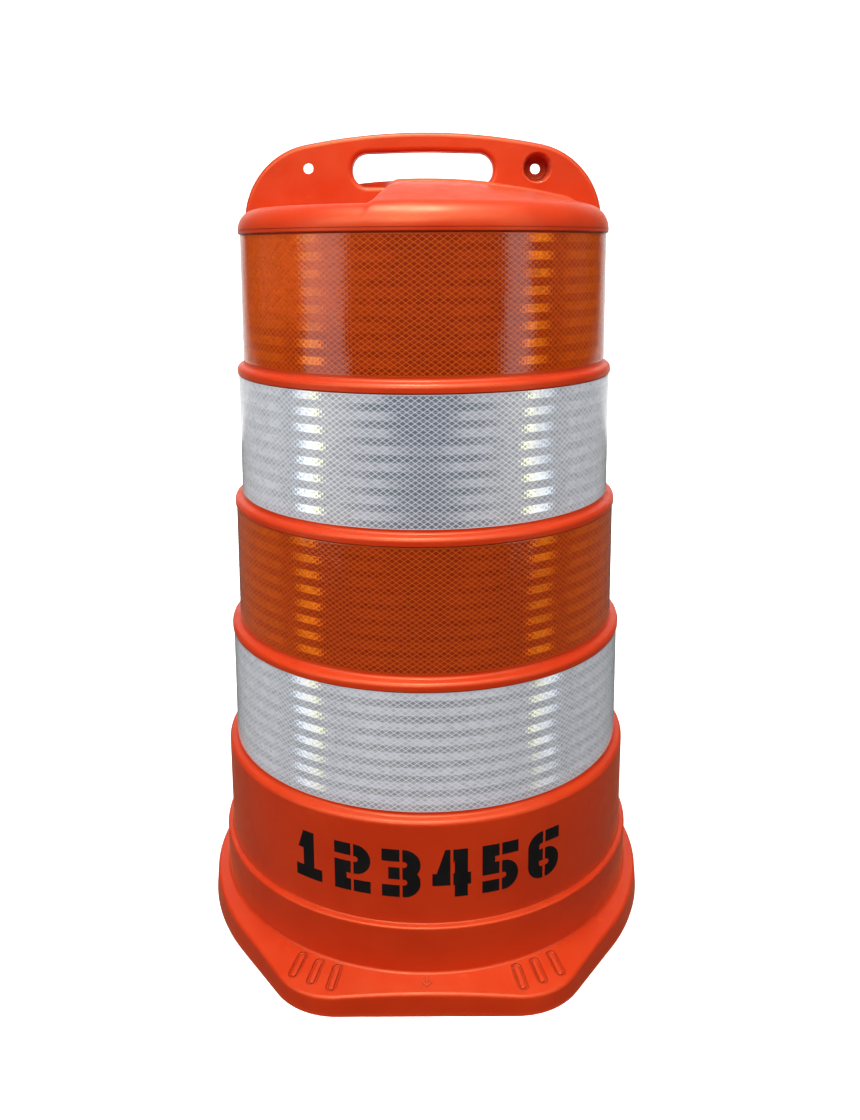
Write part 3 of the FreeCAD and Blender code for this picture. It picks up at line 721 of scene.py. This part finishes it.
def toe_grip_walls():
    """The material round the toe grips, kept out of the drum's cavity."""
    levels = [(WALL, 2 * TOE_GRIP_DEPTH), (WALL, -TOE_GRIP_DEPTH - WALL)]
    return toe_grip_solids("toe_grip_wall", levels)


def toe_grip_pads():
    """The low raised middle of each toe grip, inside its groove."""
    inset = -TOE_GRIP_GROOVE
    soft = TOE_GRIP_LIP_ROUND
    levels = [(inset, -TOE_GRIP_DEPTH - WALL / 2)]
    levels += [
        (inset - along, -TOE_GRIP_PAD_DROP - out)
        for out, along in quarter_round(soft, SLOT_POINTS, last=math.radians(80))
    ]
    return toe_grip_solids("toe_grip_pad", levels)


def flange_arrow():
    """A small raised arrow on the front flange that points away from the drum."""
    tip = ARROW_LENGTH / 2
    half_line = ARROW_LINE / 2
    barb = tip - ARROW_HALF_WIDTH
    line = ARROW_LINE / math.sqrt(2)
    half = [
        (half_line, -tip),
        (half_line, tip - 2 * line - half_line),
        (ARROW_HALF_WIDTH - line, barb - line),
        (ARROW_HALF_WIDTH, barb),
    ]
    outline = half + [(0, tip)] + [(-x, y) for x, y in half[::-1]]
    rings = []
    for inset, height in ((0, -WALL / 2), (0, ARROW_PROUD - ARROW_SOFT), (ARROW_SOFT, ARROW_PROUD)):
        shrink = 1 - inset / ARROW_HALF_WIDTH
        rings.append(np.array([(x * shrink, -y * shrink, height) for x, y in outline]))
    arrow = mesh_object("arrow", *loft(rings))
    place_on_flange(arrow, ARROW_RADIUS, 0, 1)
    return arrow


# ---- shell assembly


def drum_shell():
    """The one-piece moulded shell, hollow and open at the ground."""
    sides = (-1, 1)
    shell = skin("drum_shell", 0)
    combine(shell, "UNION", handle_plate("handle", 0))
    combine(shell, "DIFFERENCE", *[cup_cutter(side) for side in sides], *toe_grip_cutters())
    cavity = skin("cavity", WALL)
    combine(cavity, "UNION", handle_plate("handle_cavity", WALL))
    combine(cavity, "DIFFERENCE", *[cup_wall(side) for side in sides], *toe_grip_walls())
    combine(shell, "DIFFERENCE", cavity)
    combine(shell, "DIFFERENCE", *[lamp_hole(side) for side in sides])
    combine(shell, "UNION", flange_arrow(), *toe_grip_pads())
    shade_smooth(shell, SHELL_CREASE)
    shell.modifiers.new("steady_normals", "WEIGHTED_NORMAL").keep_sharp = True
    shell.data.materials.clear()
    shell.data.materials.append(polyethylene())
    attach(shell, "root")
    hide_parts("drum_body")


# ---- sheeting


class Strip:
    """One band's strip of sheeting, which starts at the back and laps over its own start."""

    def __init__(self, band):
        self.top_z, self.foot_z, self.top_radius, self.foot_radius = band_edges(band)
        middle = (self.top_radius + self.foot_radius) / 2
        length = 2 * math.pi * middle + LAP
        self.columns = 2 * round(length / CELL_WIDTH)  # half cells along the strip, an even number
        self.rows = 2 * CELLS_HIGH
        self.turn = length / middle
        self.climb = 4 * SHEETING / middle

    def point(self, column, row, height):
        """A point of the strip at a lattice place, height above the wall it is stuck to."""
        angle = math.pi / 2 + self.turn * column / self.columns
        full = math.pi / 2 + 2 * math.pi
        lift = np.clip((angle - (full - 2 * self.climb)) / self.climb, 0, 1) * SHEETING
        share = row / self.rows
        wall = self.foot_radius + (self.top_radius - self.foot_radius) * share - SHEETING
        radius = wall + lift + height
        z = self.foot_z + (self.top_z - self.foot_z) * share
        return radius * math.cos(angle), radius * math.sin(angle), z


def strip_mesh(name, strip, low, high, with_cells):
    """A closed film between two heights above the wall. Its outer face has raised cells or is plain."""
    places = []  # (column, row, height) of every vertex
    index = {}

    def vertex(column, row, height):
        key = (round(column, 4), round(row, 4), round(height, 8))
        if key not in index:
            index[key] = len(places)
            places.append(key)
        return index[key]

    faces = []
    groove = high - CELL_RELIEF if with_cells else high
    columns, rows = strip.columns, strip.rows

    def cut_edge(*ends):
        """The film's edge between two places."""
        below = [vertex(c, r, low) for c, r in ends]
        faces.append(below + [vertex(c, r, groove) for c, r in ends[::-1]])

    if with_cells:
        for column in range(columns + 1):
            for row in range((column + 1) % 2, rows + 1, 2):
                around = [(column - 1, row), (column, row - 1), (column + 1, row), (column, row + 1)]
                cell = [(c, r) for c, r in around if 0 <= c <= columns and 0 <= r <= rows]
                middle = np.mean(cell, axis=0)
                outer = [vertex(c, r, groove) for c, r in cell]
                inward = [np.array(place) + (middle - place) * LINE_SHARE for place in cell]
                raised = [vertex(*place, high) for place in inward]
                faces.append(raised)
                for i in range(len(cell)):
                    j = (i + 1) % len(cell)
                    faces.append([outer[i], outer[j], raised[j], raised[i]])
    row_step = 2 if with_cells else 4
    row_marks = list(range(0, rows + 1, row_step))
    for column in range(0, columns, 2):
        right = column + 2
        left_rows = row_marks if column == 0 else (0, rows)
        right_rows = row_marks if right == columns else (0, rows)
        for height in (low,) if with_cells else (low, high):
            faces.append(
                [vertex(column, row, height) for row in left_rows]
                + [vertex(right, row, height) for row in right_rows[::-1]]
            )
        for row in (0, rows):
            cut_edge((column, row), (right, row))
    for column in (0, columns):
        for row, above in zip(row_marks, row_marks[1:]):
            cut_edge((column, row), (column, above))
    film = mesh_object(name, [strip.point(*place) for place in places], faces, FILM_CREASE)
    marks = film.data.attributes.new("cells", "FLOAT_VECTOR", "POINT")
    in_cells = np.array([(c / 2, r / 2, 0.0) for c, r, _ in places], np.float32)
    marks.data.foreach_set("vector", in_cells.ravel())
    return film


def sheeting_band(band, face_material, backing_material):
    """A band's two films: the backing stuck to the wall and the prismatic face sealed on it."""
    strip = Strip(band)
    colour = band.split("_")[1]
    backing = strip_mesh(band + "_sheeting_backing", strip, 0, BACKING_FILM, with_cells=False)
    face = strip_mesh(band + "_sheeting_face", strip, BACKING_FILM, SHEETING, with_cells=True)
    backing.data.materials.append(backing_material)
    face.data.materials.append(face_material)
    for film, layer, slot in (
        (backing, "_backing_film", "white_backing_film"),
        (face, "_face_film", colour + "_prismatic_film"),
    ):
        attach(film, "root")
        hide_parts(band + layer)


# ---- materials


class Shader:
    """Shorthand for one material's nodes. Inputs go by name, with underscores for spaces."""

    def __init__(self, name):
        self.material = bpy.data.materials.new(name)
        self.material.use_nodes = True
        self.nodes = self.material.node_tree.nodes
        self.links = self.material.node_tree.links
        self.place = self.add("TexCoord", "Object")  # metres, in the drum's frame

    def feed(self, socket, value):
        if isinstance(value, bpy.types.NodeSocket):
            self.links.new(value, socket)
        else:
            socket.default_value = value

    def surface(self, **inputs):
        """Feeds the surface's inputs and returns the finished material."""
        for key, value in inputs.items():
            self.feed(self.nodes["Principled BSDF"].inputs[key.replace("_", " ")], value)
        return self.material

    def add(self, kind, output=0, settings=(), **inputs):
        """Adds a node of a kind and returns one of its outputs."""
        made = self.nodes.new("ShaderNode" + kind)
        for key, value in dict(settings).items():
            setattr(made, key, value)
        for key, value in inputs.items():
            self.feed(made.inputs[key.replace("_", " ")], value)
        return made.outputs[output]

    def in_order(self, kind, operation, values, output=0):
        """Adds a calculating node with its inputs fed in order."""
        made = self.nodes.new("ShaderNode" + kind)
        made.operation = operation
        for socket, value in zip(made.inputs, values):
            self.feed(socket, value)
        return made.outputs[output]

    def calc(self, operation, *values):
        return self.in_order("Math", operation, values)

    def both(self, *masks):
        """The product of masks."""
        product = masks[0]
        for mask in masks[1:]:
            product = self.calc("MULTIPLY", product, mask)
        return product

    def smooth(self, value, low, high, to_low=0.0, to_high=1.0):
        """A smooth change from one level to another as a value goes from low to high."""
        levels = {"From_Min": low, "From_Max": high, "To_Min": to_low, "To_Max": to_high}
        soft = {"interpolation_type": "SMOOTHSTEP"}
        return self.add("MapRange", settings=soft, Value=value, **levels)

    def fade(self, value, low, high):
        return self.smooth(value, low, high, 1.0, 0.0)

    def window(self, value, start, full, fading, end):
        """A mask that rises between start and full and falls between fading and end."""
        return self.both(self.smooth(value, start, full), self.fade(value, fading, end))

    def gap(self, value, other):
        """How far one value is from another."""
        return self.calc("ABSOLUTE", self.calc("SUBTRACT", value, other))

    def mix(self, share, first, second):
        made = self.nodes.new("ShaderNodeMix")
        made.data_type = "RGBA"
        for socket, value in ((0, share), (6, first), (7, second)):
            self.feed(made.inputs[socket], value)
        return made.outputs[2]

    def ramp(self, value, stops):
        """Colours along a value, from (place, colour) stops."""
        made = self.nodes.new("ShaderNodeValToRGB")
        marks = made.color_ramp.elements
        while len(marks) < len(stops):
            marks.new(0.5)
        for mark, (place, colour) in zip(marks, stops):
            mark.position = place
            mark.color = (*colour, 1.0)
        self.feed(made.inputs[0], value)
        return made.outputs[0]

    def noise(self, scale, detail, where=None):
        if where is None:
            where = self.place
        return self.add("TexNoise", Scale=scale, Detail=detail, Vector=where)

    def bump(self, height, distance, strength, **under):
        return self.add("Bump", Height=height, Distance=distance, Strength=strength, **under)

    def axes(self, vector):
        made = self.nodes.new("ShaderNodeSeparateXYZ")
        self.feed(made.inputs[0], vector)
        return made.outputs


def grey(level):
    return (level, level, level, 1.0)


ORANGE = (0.55, 0.031, 0.0042, 1.0)
ORANGE_WORN = (0.64, 0.070, 0.016, 1.0)
ORANGE_DEEP = (0.50, 0.025, 0.0032, 1.0)
ORANGE_PAINTED_SHADE = (0.17, 0.006, 0.0008, 1.0)
HAZE_TINT = (1.0, 0.55, 0.26, 1.0)
PAINTED_SHADE_REACH = 3.0 * MM  # how narrow a crease has to be to get painted shade
FLAT_FACING = (0.9990, 0.9998)  # how square to Y the handle's flat faces are, which stay free of wear


def polyethylene():
    """Satin polyethylene: colour drift, orange peel, scuffs, paler worn edges and painted shade in
    creases.
    """
    s = Shader("orange_polyethylene")
    colour = s.mix(s.smooth(s.noise(9.0, 3.0), 0.35, 0.7), ORANGE_DEEP, ORANGE)
    stretched = s.add("Mapping", Vector=s.place, Scale=(1.0, 1.0, 9.0))
    scuff_lines = s.smooth(s.noise(60.0, 6.0, stretched), 0.60, 0.72)
    scuff_areas = s.smooth(s.noise(14.0, 3.0), 0.52, 0.66)
    scuffs = s.both(scuff_lines, scuff_areas)
    _, facing, _ = s.axes(s.add("NewGeometry", "True Normal"))
    off_flats = s.fade(s.calc("ABSOLUTE", facing), *FLAT_FACING)
    edges = s.both(s.smooth(s.add("NewGeometry", "Pointiness"), 0.515, 0.56), off_flats)
    colour = s.mix(s.calc("MAXIMUM", s.both(scuffs, 0.55), s.both(edges, 0.35)), colour, ORANGE_WORN)
    # Painted shade: narrow creases and recesses are darkened by ambient occlusion.
    nearby = {"samples": 6, "only_local": True}
    openness = s.add("AmbientOcclusion", "AO", settings=nearby, Distance=PAINTED_SHADE_REACH)
    colour = s.mix(s.smooth(openness, 0.62, 0.95, 0.95, 0.0), colour, ORANGE_PAINTED_SHADE)
    roughness = s.smooth(s.noise(35.0, 4.0), 0.3, 0.7, 0.34, 0.44)
    peel = s.bump(s.noise(160.0, 2.0), 0.25 * MM, 0.35)
    slow = s.bump(s.noise(22.0, 1.0), 2.0 * MM, 0.25, Normal=peel)
    grain = s.bump(s.noise(1800.0, 2.0), 0.05 * MM, 0.35, Normal=slow)
    return s.surface(
        Base_Color=colour,
        Roughness=s.calc("ADD", roughness, s.both(scuffs, 0.15)),
        Normal=grain,
        IOR=1.51,
        Specular_IOR_Level=0.55,
        Specular_Tint=HAZE_TINT,
        Sheen_Weight=0.12,
        Sheen_Roughness=0.45,
        Sheen_Tint=HAZE_TINT,
    )


# Where rows of prisms respond: start, full, fading and end, each as 1 minus the cosine of the wall's
# turn away from the viewer
PATCH_VIEWS = (0.004, 0.03, 0.06, 0.12)
FLASH_VIEWS = (0.17, 0.19, 0.26, 0.31)
SIDE_VIEWS = (0.34, 0.42, 0.80, 0.95)
LINE_BLUR = 0.07  # softness of a line's edge, as a share of the spacing of the lines
FLASH_LEFT = 0.45  # how much of the flashes is left seen from above and on the sunny side
SUNNY_X = (-0.17, -0.04)  # where the painted light on the top band's left side begins to fade and ends
SUNNY_Z = (0.79, 0.83)


class FilmLook(NamedTuple):
    """Colours of one kind of film, with the prisms' reflections painted in by angle of view. The ramps
    run over the angle of view, as 1 minus its cosine.
    """

    name: str
    cell: list
    line: list
    # painted glints of the flashing rows
    flash: list
    patch: tuple  # painted reflection: lighter rows near the middle
    side_rows: tuple
    sunny: tuple  # painted light on the top band's left side
    # strength of the flashes' painted glow
    flash_light: float


WHITE_FILM = FilmLook(
    name="white_prismatic_film",
    cell=[(0.0, (0.15, 0.17, 0.205)), (0.05, (0.19, 0.21, 0.25)), (0.12, (0.38, 0.385, 0.41)),
          (0.30, (0.44, 0.46, 0.50)), (0.60, (0.58, 0.60, 0.63)), (0.90, (0.70, 0.72, 0.74))],
    line=[(0.0, (0.58, 0.62, 0.68)), (0.12, (0.74, 0.75, 0.78)), (0.50, (0.70, 0.73, 0.77)),
          (1.0, (0.80, 0.82, 0.84))],
    flash=[(0.16, (1.0, 0.72, 0.30)), (0.185, (0.95, 1.0, 0.62)), (0.22, (1.0, 1.0, 1.0)),
           (0.32, (0.62, 0.80, 1.0))],
    patch=(0.62, 0.62, 0.68, 1.0),
    side_rows=(0.80, 0.78, 0.86, 1.0),
    sunny=(0.60, 0.61, 0.64, 1.0),
    flash_light=0.45,
)
ORANGE_FILM = FilmLook(
    name="orange_prismatic_film",
    cell=[(0.0, (0.27, 0.020, 0.0008)), (0.12, (0.28, 0.020, 0.0008)), (0.30, (0.38, 0.034, 0.001)),
          (0.60, (0.50, 0.055, 0.002)), (0.90, (0.62, 0.10, 0.02))],
    line=[(0.0, (0.52, 0.085, 0.008)), (0.40, (0.52, 0.080, 0.006)), (1.0, (0.65, 0.15, 0.05))],
    flash=[(0.16, (0.90, 0.10, 0.0)), (0.22, (0.95, 0.23, 0.008)), (0.30, (0.80, 0.12, 0.003))],
    patch=(0.40, 0.035, 0.002, 1.0),
    side_rows=(0.72, 0.10, 0.002, 1.0),
    sunny=(0.72, 0.088, 0.006, 1.0),
    flash_light=0.05,
)


def random_shade(s, **cell):
    """A steady random value for each numbered cell."""
    number = s.add("CombineXYZ", **cell)
    return s.add("TexWhiteNoise", "Value", settings={"noise_dimensions": "3D"}, Vector=number)


def cell_pattern(s):
    """Masks of the lattice: pale lines, a shade for each cell and each row, and every other row."""
    along, up, _ = s.axes(s.add("Attribute", "Vector", settings={"attribute_name": "cells"}))
    rising = s.calc("ADD", along, up)
    falling = s.calc("SUBTRACT", along, up)
    rows = s.calc("DIVIDE", up, PRISM_ROW)

    def from_middle(value):
        """0 in the middle of a spacing and 1 at its borders."""
        return s.both(s.gap(s.calc("FRACT", value), 0.5), 2.0)

    reach = s.calc("MAXIMUM", from_middle(rising), from_middle(falling))
    line = s.smooth(reach, 1 - LINE_SHARE - LINE_BLUR, 1 - LINE_SHARE + LINE_BLUR)
    rim = s.smooth(s.gap(up, CELLS_HIGH / 2), CELLS_HIGH / 2 - 0.15, CELLS_HIGH / 2 - 0.05)
    seam = s.smooth(from_middle(rows), 0.90, 0.96, 0.0, 0.35)
    row_number = s.calc("FLOOR", rows)
    pair = s.calc("FRACT", s.both(rows, 0.5))
    return {
        "line": s.calc("MAXIMUM", s.calc("MAXIMUM", line, seam), rim),
        "cell_shade": random_shade(
            s, X=s.calc("FLOOR", rising), Y=s.calc("FLOOR", falling), Z=row_number
        ),
        "row_shade": random_shade(s, X=row_number),
        "stripe": s.window(pair, 0.48, 0.52, 0.97, 1.0),
    }


def turn_from_viewer(s):
    """0 where the wall faces the viewer and 1 where it is side on, in the horizontal plane only."""
    level = []
    for side in ("Normal", "Incoming"):
        flat = s.in_order("VectorMath", "MULTIPLY", (s.add("NewGeometry", side), (1.0, 1.0, 0.0)))
        level.append(s.in_order("VectorMath", "NORMALIZE", (flat,)))
    return s.calc("SUBTRACT", 1.0, s.in_order("VectorMath", "DOT_PRODUCT", level, "Value"))


def prismatic_film(look):
    """Clear glossy film over rows of prisms, every other one of which flashes at a narrow angle. The
    light the prisms send back is painted into the colour by angle of view.
    """
    s = Shader(look.name)
    pattern = cell_pattern(s)
    stripe = pattern["stripe"]
    away = s.add("LayerWeight", "Facing", Blend=0.5)
    wander = s.both(s.calc("SUBTRACT", s.noise(7.0, 2.0), 0.5), 0.05)
    uneven = s.both(s.calc("SUBTRACT", pattern["row_shade"], 0.5), 0.03)
    angle = s.calc("ADD", away, wander)
    turn = s.calc("ADD", s.calc("ADD", turn_from_viewer(s), wander), uneven)
    tilt = s.calc("SUBTRACT", away, turn)  # the part that comes from looking down at the wall

    # Painted reflection: the cells' colour follows the angle of view, and every other row turns lighter
    # at some angles.
    cell = s.ramp(angle, look.cell)
    for rows, colour in (
        (s.both(s.window(turn, *PATCH_VIEWS), 0.55), look.patch),
        (s.both(s.smooth(tilt, 0.06, 0.09), 0.85), look.patch),
        (s.both(s.window(turn, *SIDE_VIEWS), 0.55), look.side_rows),
    ):
        cell = s.mix(s.both(rows, stripe), cell, colour)
    # Painted light: the top band is lighter on its left side, where fewer flashes show.
    x, _, z = s.axes(s.place)
    sunny_side = s.both(s.fade(x, *SUNNY_X), s.smooth(z, *SUNNY_Z))
    cell = s.mix(s.both(sunny_side, 0.75), cell, look.sunny)

    # Painted glints: the flashing rows get a bright painted colour and glow by emission, though the
    # film is no lamp.
    sparkle = s.smooth(s.noise(420.0, 2.0), 0.30, 0.62, 0.45, 1.0)
    patchy = s.smooth(s.noise(16.0, 1.0), 0.36, 0.60, 0.60, 1.0)
    flash = s.both(s.window(turn, *FLASH_VIEWS), stripe, sparkle, patchy)
    from_above = s.smooth(tilt, 0.05, 0.12, 1.0, FLASH_LEFT)
    flash = s.both(flash, from_above, s.smooth(sunny_side, 0.0, 0.5, 1.0, FLASH_LEFT))
    flash_colour = s.ramp(turn, look.flash)
    cell = s.mix(flash, cell, flash_colour)
    cell = s.mix(s.both(pattern["cell_shade"], 0.22), cell, grey(0.0))
    line = s.mix(s.both(flash, 0.6), s.ramp(angle, look.line), flash_colour)

    waves = s.bump(s.noise(13.0, 3.0), 4.0 * MM, 0.40)
    prisms = s.add("TexVoronoi", "Distance", settings={"feature": "F1"}, Vector=s.place, Scale=2600.0)
    return s.surface(
        Base_Color=s.mix(pattern["line"], cell, line),
        Roughness=0.6,
        Specular_IOR_Level=0.0,
        Normal=s.bump(prisms, 0.05 * MM, 0.25, Normal=waves),
        Emission_Color=flash_colour,
        Emission_Strength=s.both(flash, look.flash_light),
        Coat_Weight=1.0,
        Coat_Roughness=0.10,
        Coat_IOR=1.5,
        Coat_Normal=waves,
    )


def backing():
    """White adhesive-backed film, slightly yellowed and mottled, seen at the bands' cut edges."""
    s = Shader("white_backing_film")
    stain = s.noise(90.0, 4.0)
    return s.surface(
        Base_Color=s.mix(stain, (0.80, 0.79, 0.75, 1.0), (0.88, 0.88, 0.87, 1.0)),
        Normal=s.bump(s.noise(900.0, 2.0), 0.05 * MM, 0.3),
        Roughness=0.5,
    )


def stencil_paint():
    """Flat black paint, a little uneven, with the moulding's fine texture showing through."""
    s = Shader("black_paint")
    patchy = s.noise(55.0, 5.0)
    return s.surface(
        Base_Color=s.mix(patchy, grey(0.0010), (0.0045, 0.0040, 0.0038, 1.0)),
        Roughness=s.smooth(patchy, 0.3, 0.7, 0.62, 0.78),
        Normal=s.bump(s.noise(1100.0, 3.0), 0.06 * MM, 0.4),
        Specular_IOR_Level=0.15,
    )


# ---- stage, light and camera


FLOOR_FRONT = -8.0
FLOOR_BACK = 6.0
FLOOR_HALF_WIDTH = 14.0
BACKDROP_ROUND = 2.0
BACKDROP_TOP = 9.0
BRIGHT_FLOOR_Y = (3.0, 3.6)  # where the floor far behind the drum turns bright in reflections
BRIGHT_FLOOR_X = (5.5, 6.5)  # and where it fades to the sides
SURROUND_GLOW = 0.12
SURROUND_SEEN = 0.90


def sweep_backdrop():
    """A pale floor that curves up into a wall far behind the drum."""
    profile = [(FLOOR_FRONT, 0.0)]
    profile += [
        (FLOOR_BACK + BACKDROP_ROUND * math.sin(t), BACKDROP_ROUND * (1 - math.cos(t)))
        for t in np.linspace(0, math.pi / 2, 24)
    ]
    profile += [(FLOOR_BACK + BACKDROP_ROUND, BACKDROP_TOP)]
    vertices = [(side * FLOOR_HALF_WIDTH, y, z) for y, z in profile for side in (-1, 1)]
    faces = [(2 * i, 2 * i + 1, 2 * i + 3, 2 * i + 2) for i in range(len(profile) - 1)]
    floor = mesh_object("floor", vertices, faces)
    floor.data.shade_smooth()
    floor.data.materials.append(pale_floor())


def pale_floor():
    """Matt and pale to the camera, but dim in reflections, except far behind the drum."""
    s = Shader("pale_floor")
    seen = s.mix(s.noise(6.0, 3.0), grey(0.91), grey(0.94))
    x, y, _ = s.axes(s.place)
    behind = s.both(s.smooth(y, *BRIGHT_FLOOR_Y), s.fade(s.calc("ABSOLUTE", x), *BRIGHT_FLOOR_X))
    unseen = s.mix(behind, grey(0.05), grey(0.80))
    by_camera = s.add("LightPath", "Is Camera Ray")
    return s.surface(
        Base_Color=s.mix(by_camera, unseen, seen),
        Emission_Color=grey(1.0),
        Emission_Strength=s.both(by_camera, 0.5),
        Roughness=0.9,
        Specular_IOR_Level=0.0,
    )


def softbox(name, place, target, width, height, power):
    light = bpy.data.lights.new(name, "AREA")
    light.shape = "RECTANGLE"
    light.size = width
    light.size_y = height
    light.energy = power
    lamp = in_scene(name, light)
    lamp.location = place
    lamp.rotation_euler = (Vector(target) - Vector(place)).to_track_quat("-Z", "Y").to_euler()
    return lamp


def studio_light():
    """Soft lights all round. Two only show as shine, and two light the back without shining."""
    middle = (0.0, 0.0, 0.5)
    softbox("ceiling", (0.0, -0.9, 3.2), (0.0, 0.0, 0.8), 3.2, 2.6, 100.0)
    softbox("high_left", (-2.6, -2.2, 3.0), middle, 1.6, 1.2, 50.0)
    softbox("high_right", (2.6, -2.0, 3.0), middle, 1.6, 1.2, 26.0)
    softbox("low_left", (-2.4, -1.4, 1.0), middle, 1.4, 2.2, 16.0)
    softbox("low_right", (2.4, -1.6, 1.0), middle, 0.9, 2.0, 10.0)
    softbox("front_fill", (0.3, -3.4, 3.2), middle, 3.0, 1.2, 58.0)
    softbox("backdrop_wash", (0.0, 3.0, 4.5), (0.0, 7.0, 1.5), 6.0, 2.0, 420.0)
    high_shine = softbox("high_shine", (-0.15, -0.60, 3.2), (0.0, -0.2, 0.9), 0.8, 0.4, 75.0)
    front_shine = softbox("front_shine", (-0.9, -3.2, 2.9), middle, 1.6, 0.6, 60.0)
    for shine in (high_shine, front_shine):
        shine.visible_diffuse = False
    for side, name in ((-1, "back_left"), (1, "back_right")):
        back = softbox(name, (side * 1.9, 2.6, 2.3), middle, 1.8, 1.6, 55.0)
        back.visible_glossy = False


def surround():
    """A dim, even surround that looks pale itself."""
    world = bpy.data.worlds.new("surround")
    bpy.context.scene.world = world
    world.use_nodes = True
    nodes, links = world.node_tree.nodes, world.node_tree.links
    path = nodes.new("ShaderNodeLightPath")
    strength = nodes.new("ShaderNodeMapRange")
    strength.inputs["To Min"].default_value = SURROUND_GLOW
    strength.inputs["To Max"].default_value = SURROUND_SEEN
    background = nodes["Background"]
    background.inputs["Color"].default_value = grey(1.0)
    links.new(path.outputs["Is Camera Ray"], strength.inputs["Value"])
    links.new(strength.outputs["Result"], background.inputs["Strength"])


CAMERA_PLACE = (0.0, -1.3124, 0.8924)
CAMERA_PITCH = math.radians(90 - 14.29)
CAMERA_ROLL = math.radians(-0.30)
CAMERA_LENS = 31.63
CAMERA_SHIFT = (0.0049, -0.054)


def photo_camera():
    """A camera in front of the drum, a little below its top, looking slightly down."""
    data = bpy.data.cameras.new("camera")
    data.lens = CAMERA_LENS
    data.shift_x, data.shift_y = CAMERA_SHIFT
    camera = in_scene("camera", data)
    camera.location = CAMERA_PLACE
    pitch = Euler((CAMERA_PITCH, 0, 0)).to_matrix()
    roll = Euler((0, 0, CAMERA_ROLL)).to_matrix()
    camera.rotation_euler = (pitch @ roll).to_euler()
    bpy.context.scene.camera = camera


def main():
    drum_shell()
    faces = {"orange": prismatic_film(ORANGE_FILM), "white": prismatic_film(WHITE_FILM)}
    back = backing()
    for band in BANDS:
        sheeting_band(band, faces[band.split("_")[1]], back)
    marking = frame["nodes"]["stencil_marking"]
    marking.data.materials.clear()
    marking.data.materials.append(stencil_paint())
    sweep_backdrop()
    studio_light()
    surround()
    photo_camera()
    bpy.context.scene.view_settings.view_transform = "Standard"


main()
